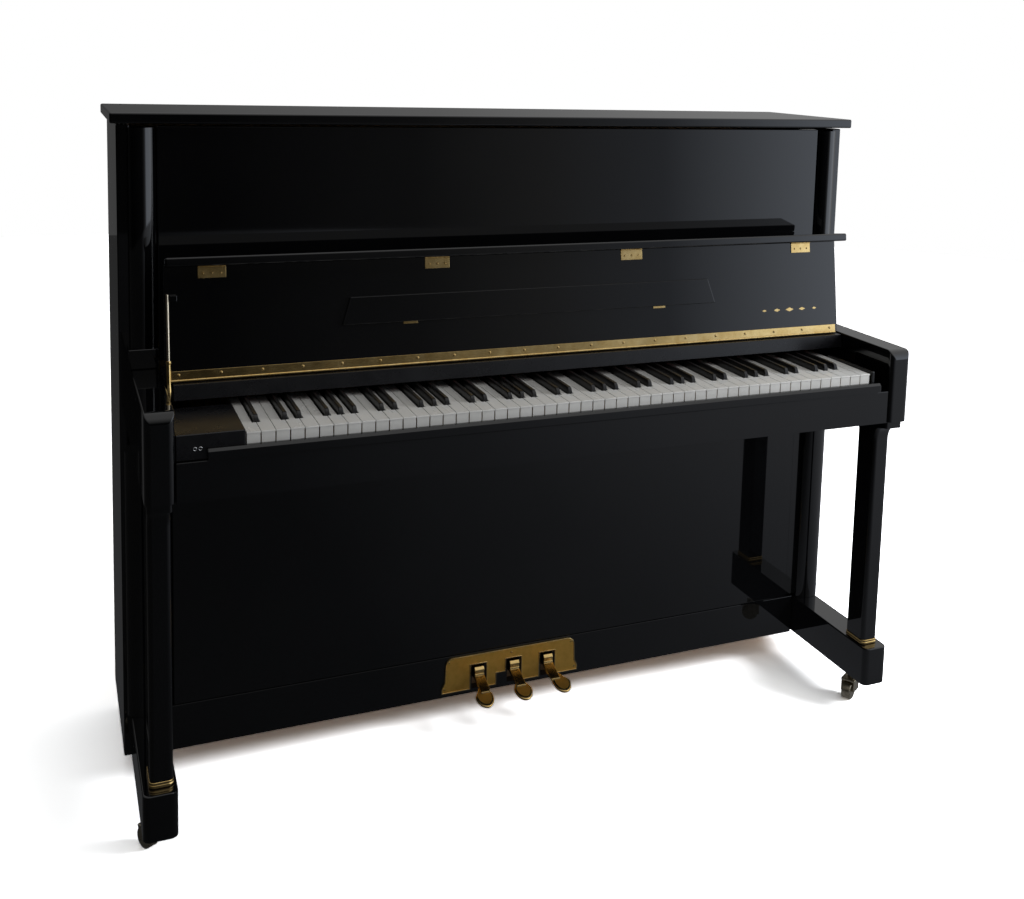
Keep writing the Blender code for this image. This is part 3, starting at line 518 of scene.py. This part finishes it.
for side, sign in (("left", -1), ("right", 1)):
    # upper column: half-round facing on a square foot
    bm = bmesh.new()
    mid = COLUMN_MID * sign
    low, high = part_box("column_upper_" + side)
    plan = half_round_plan(mid, COLUMN_HALF, 0.2885, 0.0185)
    loft(bm, [[at(x, y, z) for x, y in plan] for z in (0.8240, high.z)])
    foot = sorted((0.6885 * sign, 0.7390 * sign))
    block(bm, at(foot[0], 0.2672, low.z), at(foot[1], 0.2904, 0.8255), 0.0016, 3)
    tongue = sorted((0.6880 * sign, 0.7310 * sign))
    block(bm, at(tongue[0], 0.2895, low.z), at(tongue[1], 0.3200, high.z), 0.0008, 1)
    piece("column_upper_%s_gloss" % side, bm, LACQUER, "column_upper_" + side)

    # lower column
    bm = bmesh.new()
    mid = LOWER_MID * sign
    low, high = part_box("column_lower_" + side)
    plan = half_round_plan(mid, LOWER_HALF, 0.2820, 0.0200)
    loft(bm, [[at(x, y, z) for x, y in plan] for z in (low.z, high.z)])
    tongue = sorted((0.6684 * sign, 0.7310 * sign))
    block(bm, at(tongue[0], 0.2862, 0.1500), at(tongue[1], 0.3180, high.z), 0.0008, 1)
    piece("column_lower_%s_gloss" % side, bm, LACQUER, "column_lower_" + side)

    # arm: flat nose with rounded corners, and a top that rolls down at the front
    bm = bmesh.new()
    low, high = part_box("arm_" + side)
    half = (high.x - low.x) / 2 - 0.0001
    mid = (high.x + low.x) / 2
    depths = [0.2902, 0.2895, 0.20, 0.10, 0.05, 0.02, ARM_ROLL_START]
    depths += [ARM_ROLL_START - ARM_ROLL_REACH * sin(radians(a)) for a in range(6, 91, 6)]
    rings = []
    for depth in sorted(depths, reverse=True):
        inside = max(0.0, ARM_FRONT + ARM_CORNER - depth)
        wide = half - ARM_CORNER + sqrt(max(0.0, ARM_CORNER ** 2 - inside ** 2))
        roll = asin(min(1.0, max(0.0, (ARM_ROLL_START - depth) / ARM_ROLL_REACH)))
        top = high.z - ARM_ROLL_DROP * (1 - cos(roll))
        rings.append([at(mid + x, depth, z) for x, z in rounded_section(wide, low.z, top, 0.0022, 0.0012)])
    loft(bm, rings)
    piece("arm_%s_gloss" % side, bm, LACQUER, "arm_" + side, angle=40)

    # leg: post with rounded corners, a cove and a slab under the arm
    bm = bmesh.new()
    low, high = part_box("leg_" + side)
    mid = LEG_MID * sign
    slab_mid = SLAB_MID * sign
    shaft = rounded_plan(mid - LEG_HALF, mid + LEG_HALF, LEG_FRONT, LEG_BACK, LEG_CORNER)
    slab = rounded_plan(slab_mid - SLAB_HALF, slab_mid + SLAB_HALF, SLAB_FRONT, SLAB_BACK, SLAB_CORNER)
    levels = [(low.z, shaft)]
    for i in range(15):
        turn = pi / 2 * i / 14
        share = COVE_SHARE * (1 - cos(turn))
        levels.append((COVE_LOW + COVE_RISE * sin(turn), between(shaft, slab, share)))
    levels += [(SLAB_LOW, slab), (high.z, slab)]
    loft(bm, [[at(x, y, z) for x, y in plan] for z, plan in levels])
    piece("leg_%s_gloss" % side, bm, LACQUER, "leg_" + side)

    # brass ring round the foot of the leg
    bm = bmesh.new()
    low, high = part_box("leg_ring_" + side)
    levels = []
    for share, step_in in RING_PROFILE:
        plan = rounded_plan(mid - RING_HALF + step_in, mid + RING_HALF - step_in, RING_FRONT + step_in,
                            RING_BACK - step_in, RING_CORNER)
        levels.append([at(x, y, low.z + (high.z - low.z) * share) for x, y in plan])
    loft(bm, levels)
    piece("leg_ring_%s_brass" % side, bm, BRASS, "leg_ring_" + side, angle=60)

    # toe block
    bm = bmesh.new()
    low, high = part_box("toe_" + side)
    levels = []
    for height, step_in in ((low.z, 0.0014), (low.z + 0.0006, 0.0004), (low.z + 0.0014, 0.0),
                            (high.z - 0.0026, 0.0), (high.z - 0.0013, 0.00035), (high.z - 0.0004, 0.0013),
                            (high.z, 0.0026)):
        plan = rounded_plan(low.x + step_in, high.x - step_in, TOE_FRONT + step_in, TOE_BACK - step_in,
                            TOE_CORNER)
        levels.append([at(x, y, height) for x, y in plan])
    loft(bm, levels)
    piece("toe_%s_gloss" % side, bm, LACQUER, "toe_" + side)

# key block with its two chromed sockets
bm = bmesh.new()
low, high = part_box("key_block_left")
block(bm, low, high, 0.0018, 4)
piece("key_block_left_satin", bm, SATIN_LACQUER, "key_block_left")
for number, x in enumerate((-0.6580, -0.6497), 1):
    bm = bmesh.new()
    profile = [(0.0012, 0.0033), (0.0, 0.0033), (-0.0007, 0.0030), (-0.0009, 0.0026), (-0.0006, 0.0021),
               (0.0004, 0.0018), (0.0010, 0.0016)]
    turned(bm, (x, low.y, 0.7255), (0, 1, 0), profile, 24)
    piece("key_block_socket_%d" % number, bm, CHROME, "key_block_left", replace=False, angle=50)
    # dark disc in the socket's hole: painted shade of the bore
    bm = bmesh.new()
    turned(bm, (x, low.y, 0.7255), (0, 1, 0), [(-0.0001, 0.0014), (0.0002, 0.0019), (0.0011, 0.0019)], 20)
    piece("key_block_bore_%d" % number, bm, DARK_BORE, "key_block_left", replace=False)


# ---------------------------------------------------------------- keys
def has_black(index):
    """True where a black key follows this white key. White key 0 is the lowest A."""
    return index % 7 in (0, 2, 3, 5, 6) and 0 <= index < WHITE_COUNT - 1


def white_key(covers, sticks, index, back, drop):
    """One white key: a thin cover with a small lip over a white front, and a wooden stick behind."""
    left = KEYS_LEFT + WHITE_PITCH * index + 0.0005
    right = left + WHITE_PITCH - 0.0010
    step = BLACK_FRONT - 0.0012
    cut_right = BLACK_CUT if has_black(index) else 0.0
    cut_left = BLACK_CUT if index > 0 and has_black(index - 1) else 0.0
    cover_end = min(back, COVER_END)
    outline = [(left, 0.0), (right, 0.0), (right, step)]
    if cut_right:
        outline.append((right - cut_right, step))
    outline += [(right - cut_right, cover_end), (left + cut_left, cover_end)]
    if cut_left:
        outline.append((left + cut_left, step))
    outline.append((left, step))
    under = KEY_TOP - drop - COVER_THICK
    points = [at(x, y, under) for x, y in outline]
    outline_block(covers, points, (0, 0, COVER_THICK), 0.00075, 3, top_only=True)
    block(covers, at(left + 0.0005, 0.0011, KEY_LOW), at(right - 0.0005, 0.0035, under + 0.0002), 0.0004, 2)
    inner_left, inner_right = left + cut_left + 0.0006, right - cut_right - 0.0006
    block(sticks, at(left + 0.0006, 0.0033, KEY_LOW), at(right - 0.0006, step, under + 0.0001), 0)
    block(sticks, at(inner_left, step - 0.001, KEY_LOW), at(inner_right, back, under + 0.0001), 0)


def black_key(bm, x, back, drop):
    """One black key: a tapered bar with a rounded top and a nose that rises in a soft curve."""
    rings = []
    top = BLACK_TOP - drop
    for depth, share in ((0.0, 0.05), (0.0003, 0.30), (0.0011, 0.58), (0.0024, 0.80), (0.0040, 0.92),
                         (0.0062, 0.985), (0.0090, 1.0), (0.0600, 1.0), (back - BLACK_FRONT, 1.0)):
        height = KEY_TOP - 0.0004 + (top - KEY_TOP + 0.0004) * share
        ring = []
        for across, up in rounded_section(1.0, 0.0, 1.0, 0.30, 0.02, 4):
            half = 0.0049 - 0.0011 * up * share
            level = KEY_LOW + BLACK_BELOW + (height - KEY_LOW - BLACK_BELOW) * up
            ring.append(at(x + across * half, BLACK_FRONT + depth, level))
        rings.append(ring)
    return loft(bm, rings)


dice = random.Random(7)
covers, sticks = bmesh.new(), bmesh.new()
for index in range(WHITE_COUNT):
    drop = dice.uniform(0.0, 0.00025)
    if index != SINGLE_WHITE:
        white_key(covers, sticks, index, 0.40, drop)
piece("white_key_covers", covers, IVORY, "keys_white", angle=30)
piece("white_key_sticks", sticks, KEY_WOOD, "keys_white", replace=False)
covers, sticks = bmesh.new(), bmesh.new()
white_key(covers, sticks, SINGLE_WHITE, 0.3545, 0.0001)
piece("middle_c_cover", covers, IVORY, "key_middle_c", angle=30)
piece("middle_c_stick", sticks, KEY_WOOD, "key_middle_c", replace=False)

blacks = bmesh.new()
for index in range(WHITE_COUNT - 1):
    drop = dice.uniform(0.0, 0.0003)
    if has_black(index) and index != SINGLE_BLACK_AFTER:
        black_key(blacks, KEYS_LEFT + WHITE_PITCH * (index + 1), 0.2290, drop)
piece("black_key_tops", blacks, EBONY, "keys_black", angle=50)
single = bmesh.new()
black_key(single, KEYS_LEFT + WHITE_PITCH * (SINGLE_BLACK_AFTER + 1), 0.2190, 0.0001)
piece("c_sharp_top", single, EBONY, "key_c_sharp", angle=50)

# ---------------------------------------------------------------- fall, in its own frame
bm = bmesh.new()
block(bm, (-FALL_HALF, 0.0030, -FALL_THICK), (FALL_HALF, FALL_LENGTH, -0.0002), 0.0014, 3, FALL)
piece("fall_gloss", bm, LACQUER, "fall")

bm = bmesh.new()
block(bm, (-FALL_HALF, LIP_ALONG[0], -FALL_THICK + 0.0001), (FALL_HALF, LIP_ALONG[1], LIP_DEEP), 0.0032, 4,
      FALL)
piece("fall_lip_gloss", bm, LACQUER, "fall_lip")

# long hinge: leaf, knuckles and a row of screws
bm = bmesh.new()
block(bm, (-LONG_HINGE_HALF, 0.0004, 0.00005), (LONG_HINGE_HALF, 0.0164, 0.0013), 0.0005, 2, FALL)
profile = []
for i in range(LONG_HINGE_KNUCKLES):
    start = 2 * LONG_HINGE_HALF * i / LONG_HINGE_KNUCKLES
    end = 2 * LONG_HINGE_HALF * (i + 1) / LONG_HINGE_KNUCKLES
    profile += [(start + 0.0001, 0.0022), (start + 0.0004, 0.0026)]
    profile += [(end - 0.0004, 0.0026), (end - 0.0001, 0.0022)]
turned(bm, FALL @ Vector((-LONG_HINGE_HALF, 0, 0)), (1, 0, 0), profile, 18)
piece("long_hinge_brass", bm, BRASS, "fall_hinge")
bm = bmesh.new()
for i in range(20):
    x = -0.6650 + 1.3300 * i / 19
    spin = Matrix.Rotation(dice.uniform(0, pi), 4, "Z")
    dome_screw(bm, FALL @ Matrix.Translation((x, 0.0098, 0.0012)) @ spin, 0.0028, 0.0009)
piece("long_hinge_screws", bm, BRASS_DARK, "fall_hinge", replace=False, angle=50)


def hinge_knuckle(bm, x, index):
    """One of the five knuckles of a butt hinge."""
    pitch = 2 * BUTT_HALF / 5
    start = FALL @ Vector((x - BUTT_HALF + pitch * index + 0.0001, *LIP_KNUCKLE))
    profile = [(0, 0.0012), (0.0002, 0.0014), (pitch - 0.0004, 0.0014), (pitch - 0.0002, 0.0012)]
    turned(bm, start, (1, 0, 0), profile, 16)


# four butt hinges between the fall and its lip
for number, x in enumerate(BUTT_HINGES, 1):
    bm = bmesh.new()
    block(bm, (x - BUTT_HALF, 0.1728, 0.0), (x + BUTT_HALF, 0.1922, 0.0012), 0.0004, 2, FALL)
    for i in (0, 2, 4):
        hinge_knuckle(bm, x, i)
    piece("lip_hinge_%d_leaf" % number, bm, BRASS, "lip_hinge_%d" % number)
    bm = bmesh.new()
    for dx in (-0.0150, 0.0, 0.0150):
        dome_screw(bm, FALL @ Matrix.Translation((x + dx, 0.1812, 0.0011)), 0.0021, 0.0007)
    piece("lip_hinge_%d_screws" % number, bm, BRASS_DARK, "lip_hinge_%d" % number, replace=False, angle=50)
    bm = bmesh.new()
    block(bm, (x - BUTT_HALF, 0.1944, 0.0032), (x + BUTT_HALF, 0.1952, 0.0180), 0.0003, 2, FALL)
    for i in (1, 3):
        hinge_knuckle(bm, x, i)
    for dx in (-0.0150, 0.0, 0.0150):
        spot = FALL @ Matrix.Translation((x + dx, 0.1945, 0.0118))
        dome_screw(bm, spot @ FACE_OUT.inverted(), 0.0020, 0.0005)
    piece("lip_hinge_%d_upper_leaf" % number, bm, BRASS, "fall_lip", replace=False)

# music ledge: a tapering board with rounded edges, and its two small hinges
bm = bmesh.new()
corners = [(-LEDGE_HALF[0], LEDGE_ALONG[0]), (LEDGE_HALF[0], LEDGE_ALONG[0]),
           (LEDGE_HALF[1], LEDGE_ALONG[1]), (-LEDGE_HALF[1], LEDGE_ALONG[1])]
rise = (0, 0, LEDGE_RISE[1] - LEDGE_RISE[0])
outline_block(bm, [(x, u, LEDGE_RISE[0]) for x, u in corners], rise, 0.0013, 3, FALL)
piece("music_ledge_gloss", bm, LACQUER, "music_ledge")
for number, x in enumerate(LEDGE_HINGES, 1):
    bm = bmesh.new()
    block(bm, (x - 0.0135, 0.0736, 0.0), (x + 0.0135, 0.0778, 0.0012), 0.0003, 2, FALL)
    piece("ledge_hinge_%d" % number, bm, BRASS, "fall", replace=False)

# small brass inlay: a plain row of lozenges
bm = bmesh.new()
for step in (-2, -1, 0, 1, 2):
    wide = 0.0200 - 0.0045 * abs(step)
    tall = 0.0085 - 0.0018 * abs(step)
    x = INLAY_MID + INLAY_PITCH * step
    corners = [(x - wide / 2, INLAY_ALONG), (x, INLAY_ALONG - tall / 2),
               (x + wide / 2, INLAY_ALONG), (x, INLAY_ALONG + tall / 2)]
    outline_block(bm, [(*corner, -INLAY_THICK) for corner in corners], (0, 0, INLAY_THICK), 0, 1, FALL)
piece("fall_inlay", bm, BRASS, "fall", replace=False)


# ---------------------------------------------------------------- pedals and their plate
def pad_half(y):
    """Half width of a pedal's pad at a distance along it: an oval that narrows to the lever."""
    if y < PAD_WIDEST:
        share = (PAD_WIDEST - y) / (PAD_WIDEST - PAD_FRONT)
        return PAD_HALF * sqrt(max(0.0, 1 - share * share))
    turn = pi * (y - PAD_WIDEST) / (PAD_HINGE[0] - PAD_WIDEST)
    return 0.0095 + (PAD_HALF - 0.0095) * (0.5 + 0.5 * cos(turn))


def pad_ring(x, fan, height, grow):
    """One level of a pad: its outline, tilted down to the front and fanned to the side."""
    stations = [PAD_FRONT + (PAD_WIDEST - PAD_FRONT) * (1 - cos(pi / 2 * i / 12)) for i in range(12)]
    stations += [PAD_WIDEST + (PAD_HINGE[0] - PAD_WIDEST) * i / 10 for i in range(11)]
    outline = [(pad_half(y), y) for y in stations]
    outline += [(-half, y) for half, y in reversed(outline[1:])]
    ring = []
    for half, y in outline:
        back = PAD_WIDEST + (y - PAD_WIDEST) * grow - PAD_HINGE[0]
        depth = PAD_HINGE[0] + back * cos(PAD_TILT) - height * sin(PAD_TILT)
        lean = fan * min(1.0, max(0.0, (0.2620 - depth) / 0.0370))
        level = PAD_HINGE[1] + back * sin(PAD_TILT) + height * cos(PAD_TILT)
        ring.append(at(x + half * grow + lean, depth, level))
    return ring


for node, (x, fan) in PEDALS.items():
    bm = bmesh.new()
    tail = [(0.3900, 0.0960), (0.3900, 0.1100), (0.2900, 0.1150), (0.2740, 0.1185), (0.2700, 0.1130),
            (0.2700, 0.1060), (0.2712, 0.1050), (0.2700, 0.1040), (0.2700, 0.1010), (0.2560, 0.0955),
            (0.2300, 0.0870), (0.2290, 0.0820), (0.2620, 0.0880), (0.2760, 0.0930), (0.2900, 0.0950)]
    outline_block(bm, [at(x - 0.0099, y, z) for y, z in tail], (0.0198, 0, 0), 0.0009, 2)
    piece(node + "_lever", bm, BRASS, node)
    bm = bmesh.new()
    rim = [(-0.0039, 0.82), (-0.0032, 0.91), (-0.0018, 0.975), (0.0, 1.0), (0.0016, 0.985), (0.0028, 0.94),
           (0.0036, 0.87), (0.0037, 0.78)]
    loft(bm, [pad_ring(x, fan, height, grow) for height, grow in rim])
    piece(node + "_pad", bm, BRASS, node, replace=False, angle=60)
    bm = bmesh.new()
    loft(bm, [pad_ring(x, fan, height, grow) for height, grow in ((0.0034, 0.76), (0.0039, 0.74))])
    piece(node + "_pad_top", bm, BRASS_SATIN, node, replace=False, angle=60)


def plate_outline():
    """Outline of the pedal plate: flared foot, rounded top corners, three open slots and a notch."""
    half_plate = [(0.1497, PLATE_LOW), (0.1497, 0.0795), (0.1487, 0.0830), (0.1470, 0.0860),
                  (0.1435, 0.0930)]
    half_plate += [(PLATE_HALF - PLATE_CORNER * (1 - cos(pi / 2 * i / 10)),
                    PLATE_TOP - PLATE_CORNER * (1 - sin(pi / 2 * i / 10))) for i in range(11)]
    points = [(PLATE_MID - x, z) for x, z in half_plate]
    points += [(PLATE_MID + x, z) for x, z in reversed(half_plate)]
    for node in ("pedal_sustain", "pedal_practice", "pedal_soft"):
        x = PEDALS[node][0]
        points += [(x + SLOT_HALF, PLATE_LOW), (x + SLOT_HALF, SLOT_TOP), (x - SLOT_HALF, SLOT_TOP)]
        if node == "pedal_practice":
            points += [(x - SLOT_HALF, NOTCH[1]), (NOTCH[0], NOTCH[1]), (NOTCH[0], PLATE_LOW)]
        else:
            points.append((x - SLOT_HALF, PLATE_LOW))
    return points


def inset(points, distance):
    """The same outline moved inward by an even distance."""
    moved = []
    for i, point in enumerate(points):
        here = Vector(point)
        before = (here - Vector(points[i - 1])).normalized()
        after = (Vector(points[(i + 1) % len(points)]) - here).normalized()
        a, b = Vector((before.y, -before.x)), Vector((after.y, -after.x))
        moved.append(here + (a + b) * (distance / (1 + a.dot(b))))
    return moved


outline = plate_outline()
bm = bmesh.new()
front, back = PLATE_DEPTH
rim = [(0.0, back), (0.0, front + 0.0007), (0.0003, front + 0.0002), (0.0009, front),
       (0.0017, front + 0.0001), (0.0022, front + 0.0005), (0.0024, front + 0.0012),
       (0.0024, front + 0.0016)]
loft(bm, [[at(x, depth, z) for x, z in inset(outline, distance)] for distance, depth in rim])
piece("pedal_plate_rim", bm, BRASS, "pedal_plate", angle=50)
bm = bmesh.new()
field = [at(x, front + 0.0016, z) for x, z in inset(outline, 0.0023)]
outline_block(bm, field, (0, -0.0004, 0))
piece("pedal_plate_field", bm, BRASS_SATIN, "pedal_plate", replace=False)
bm = bmesh.new()
for x, z in ((-0.1340, 0.0), (0.0, 0.0), (0.1340, 0.0), (-0.1430, -0.0560), (0.1430, -0.0560)):
    spot = at(PLATE_MID + x, front + 0.0013, PLATE_TOP - 0.0090 + z)
    dome_screw(bm, Matrix.Translation(spot) @ FACE_OUT, 0.0022, 0.0009)
piece("pedal_plate_nails", bm, BRASS_DARK, "pedal_plate", replace=False, angle=50)

# ---------------------------------------------------------------- soft-close damper
foot = at(ROD_X, *DAMPER_FOOT)
anchor = FALL @ Vector((ROD_X, *DAMPER_ANCHOR))
way = (anchor - foot).normalized()
reach = (anchor - foot).length
bm = bmesh.new()
profile = [(-0.0080, 0.0018), (-0.0074, 0.0023), (0.0, 0.0025), (0.0030, 0.0033), (0.0060, 0.0040),
           (0.0110, 0.0045), (0.0160, 0.0043), (0.0220, 0.0036), (0.0280, 0.0034), (0.0580, 0.0034),
           (0.0592, 0.0042), (0.0602, 0.0045), (0.0632, 0.0045), (0.0640, 0.0041), (0.0640, 0.0030),
           (0.0630, 0.0029), (0.0042, 0.0029)]
turned(bm, foot, way, profile, 32)
piece("damper_tube_brass", bm, BRASS, "damper_tube", angle=40)
bm = bmesh.new()
end = reach + 0.0075
turned(bm, foot, way, [(0.0600, 0.0024), (end - 0.0008, 0.0024), (end - 0.0002, 0.0019), (end, 0.0008)], 28)
piece("damper_rod_plated", bm, WARM_PLATE, "damper_rod", angle=40)
bm = bmesh.new()
low, high = -0.6778, -0.6662
sides = [(0.1342, 0.0002), (0.1473, 0.0002), (0.1458, 0.0148), (0.1357, 0.0148)]
outline_block(bm, [(low, u, v) for u, v in sides], (high - low, 0, 0), 0.0007, 3, FALL)
piece("damper_bracket_gloss", bm, LACQUER, "damper_bracket")

# ---------------------------------------------------------------- casters
for name, (x, depth, heading) in CASTERS.items():
    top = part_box("caster_" + name)[1].z
    turn = radians(heading)
    ahead = Vector((cos(turn), sin(turn), 0))
    across = Vector((-sin(turn), cos(turn), 0))
    stem = at(x, depth, 0)
    hub = stem + ahead * CASTER_TRAIL + Vector((0, 0, WHEEL_RADIUS))
    middle = stem + ahead * CASTER_TRAIL / 2
    place = Matrix((
        (ahead.x, across.x, 0, middle.x),
        (ahead.y, across.y, 0, middle.y),
        (0, 0, 1, 0),
        (0, 0, 0, 1),
    ))
    bm = bmesh.new()
    turned(bm, stem, (0, 0, 1), [(top - 0.0050, 0.0188), (top - 0.0044, 0.0198), (top - 0.0008, 0.0200),
                                 (top, 0.0194)], 36)
    turned(bm, stem, (0, 0, 1), [(0.0410, 0.0076), (0.0460, 0.0080), (top - 0.0040, 0.0080)], 28)
    block(bm, (-0.0155, -0.0155, 0.0400), (0.0155, 0.0155, 0.0450), 0.0018, 3, place)
    for sign in (-1, 1):
        cheek = 0.0135 * sign
        block(bm, (-0.0140, cheek - 0.0015, 0.0175), (0.0140, cheek + 0.0015, 0.0435), 0.0011, 3, place)
    turned(bm, hub - across * 0.0130, across, [(0.0, 0.0025), (0.0260, 0.0025)], 20)
    piece("caster_%s_fork" % name, bm, ANTIQUE, "caster_" + name, angle=40)
    bm = bmesh.new()
    profile = [(0.0, 0.0030), (0.0, 0.0140), (0.0004, 0.0150), (0.0004, 0.0172), (0.0012, 0.0184),
               (0.0022, TREAD_RADIUS), (0.0178, TREAD_RADIUS), (0.0188, 0.0184), (0.0196, 0.0172),
               (0.0196, 0.0150), (0.0200, 0.0140), (0.0200, 0.0030)]
    turned(bm, hub - across * 0.0100, across, profile, 56)
    piece("wheel_%s_tread" % name, bm, ANTIQUE, "wheel_" + name, angle=40)


# ---------------------------------------------------------------- stage, lights, camera
def floor_and_world():
    """A white floor and surround. Gloss sees a darker studio with a soft bright side on the right, and the floor
    glows for gloss rays alone as a painted reflection.
    """
    bm = bmesh.new()
    bmesh.ops.create_circle(bm, cap_ends=True, segments=96, radius=7.0)
    mesh = bpy.data.meshes.new("studio_floor")
    bm.to_mesh(mesh)
    bm.free()
    floor = bpy.data.objects.new("studio_floor", mesh)
    bpy.context.scene.collection.objects.link(floor)
    material = bpy.data.materials.new("studio_floor_white")
    material.use_nodes = True
    tree = material.node_tree
    tree.nodes.clear()
    out = tree.nodes.new("ShaderNodeOutputMaterial")
    path = tree.nodes.new("ShaderNodeLightPath")
    seen = tree.nodes.new("ShaderNodeBsdfDiffuse")
    seen.inputs["Color"].default_value = (FLOOR_GAIN, FLOOR_GAIN, FLOOR_GAIN, 1)
    lit = tree.nodes.new("ShaderNodeBsdfDiffuse")
    lit.inputs["Color"].default_value = (0.55, 0.55, 0.55, 1)
    # gloss rays see the floor glow: a painted reflection, brighter towards the right
    glow = tree.nodes.new("ShaderNodeEmission")
    place = tree.nodes.new("ShaderNodeTexCoord")
    split = tree.nodes.new("ShaderNodeSeparateXYZ")
    tree.links.new(place.outputs["Object"], split.inputs["Vector"])
    spread = tree.nodes.new("ShaderNodeMapRange")
    spread.inputs["From Min"].default_value = -2.0
    spread.inputs["From Max"].default_value = 4.0
    tree.links.new(split.outputs["X"], spread.inputs["Value"])
    tree.links.new(ramp(tree, spread.outputs["Result"], FLOOR_PAINTED_REFLECTION), glow.inputs["Color"])
    inner = tree.nodes.new("ShaderNodeMixShader")
    tree.links.new(path.outputs["Is Glossy Ray"], inner.inputs["Fac"])
    tree.links.new(lit.outputs[0], inner.inputs[1])
    tree.links.new(glow.outputs[0], inner.inputs[2])
    outer = tree.nodes.new("ShaderNodeMixShader")
    tree.links.new(path.outputs["Is Camera Ray"], outer.inputs["Fac"])
    tree.links.new(inner.outputs[0], outer.inputs[1])
    tree.links.new(seen.outputs[0], outer.inputs[2])
    tree.links.new(outer.outputs[0], out.inputs["Surface"])
    mesh.materials.append(material)

    world = bpy.data.worlds.new("studio_world")
    bpy.context.scene.world = world
    world.use_nodes = True
    tree = world.node_tree
    tree.nodes.clear()
    out = tree.nodes.new("ShaderNodeOutputWorld")
    path = tree.nodes.new("ShaderNodeLightPath")
    place = tree.nodes.new("ShaderNodeTexCoord")
    split = tree.nodes.new("ShaderNodeSeparateXYZ")
    tree.links.new(place.outputs["Generated"], split.inputs["Vector"])

    def span(axis, low, high):
        """A direction's part along one axis, spread over 0 to 1."""
        node = tree.nodes.new("ShaderNodeMapRange")
        node.inputs["From Min"].default_value = low
        node.inputs["From Max"].default_value = high
        tree.links.new(split.outputs[axis], node.inputs["Value"])
        return node.outputs["Result"]

    def blend(factor, a, b):
        """A mix of two colours."""
        node = tree.nodes.new("ShaderNodeMix")
        node.data_type = "RGBA"
        tree.links.new(factor, node.inputs["Factor"])
        tree.links.new(a, node.inputs["A"])
        tree.links.new(b, node.inputs["B"])
        return node.outputs["Result"]

    across = span("X", -1.0, 1.0)
    front = ramp(tree, across, WORLD_FRONT)
    back = ramp(tree, across, WORLD_BACK)
    level = blend(span("Y", -0.25, 0.25), front, back)
    over = ramp(tree, across, WORLD_TOP)
    studio = blend(span("Z", 0.10, 0.75), level, over)
    gloss = tree.nodes.new("ShaderNodeBackground")
    gloss.inputs["Strength"].default_value = GLOSS_STRENGTH
    tree.links.new(studio, gloss.inputs["Color"])
    soft = tree.nodes.new("ShaderNodeBackground")
    soft.inputs["Color"].default_value = (0.95, 0.97, 1.0, 1)
    soft.inputs["Strength"].default_value = WORLD_SOFT
    white = tree.nodes.new("ShaderNodeBackground")
    white.inputs["Color"].default_value = (1, 1, 1, 1)
    inner = tree.nodes.new("ShaderNodeMixShader")
    tree.links.new(path.outputs["Is Glossy Ray"], inner.inputs["Fac"])
    tree.links.new(soft.outputs[0], inner.inputs[1])
    tree.links.new(gloss.outputs[0], inner.inputs[2])
    outer = tree.nodes.new("ShaderNodeMixShader")
    tree.links.new(path.outputs["Is Camera Ray"], outer.inputs["Fac"])
    tree.links.new(inner.outputs[0], outer.inputs[1])
    tree.links.new(white.outputs[0], outer.inputs[2])
    tree.links.new(outer.outputs[0], out.inputs["Surface"])


floor_and_world()


def lamp(name, kind, location, target, energy, size=1.0, colour=(1, 1, 1), gloss=False):
    """A soft studio lamp aimed at a point."""
    data = bpy.data.lights.new(name, kind)
    data.energy = energy
    data.color = colour
    if kind == "AREA":
        data.shape = "DISK"
        data.size = size
    else:
        data.angle = size
    thing = bpy.data.objects.new(name, data)
    bpy.context.scene.collection.objects.link(thing)
    thing.location = location
    thing.rotation_euler = (Vector(target) - Vector(location)).to_track_quat("-Z", "Y").to_euler()
    thing.visible_glossy = gloss
    return thing


lamp("overhead_soft", "SUN", (0.8, -1.2, 4.0), (0, 0.1, 0.3), 0.67, radians(75), (1.0, 0.99, 0.97))
lamp("right_soft", "AREA", (2.0, -1.2, 1.5), (0.3, 0.0, 0.7), 31.0, 1.0, (0.95, 0.97, 1.0))

camera_data = bpy.data.cameras.new("photo_camera")
camera = bpy.data.objects.new("photo_camera", camera_data)
bpy.context.scene.collection.objects.link(camera)
camera_data.sensor_width = SENSOR_MM
camera_data.lens = LENS_MM
camera_data.shift_x, camera_data.shift_y = LENS_SHIFT
camera_data.clip_start = 0.05
camera_data.clip_end = 60.0
camera.matrix_world = Matrix((
    (RIGHT.x, UP.x, -FORWARD.x, CAMERA_X),
    (RIGHT.y, UP.y, -FORWARD.y, CAMERA_DEPTH + KEY_FRONT),
    (RIGHT.z, UP.z, -FORWARD.z, CAMERA_HEIGHT),
    (0, 0, 0, 1),
))
bpy.context.scene.camera = camera
bpy.context.scene.view_settings.view_transform = "Standard"
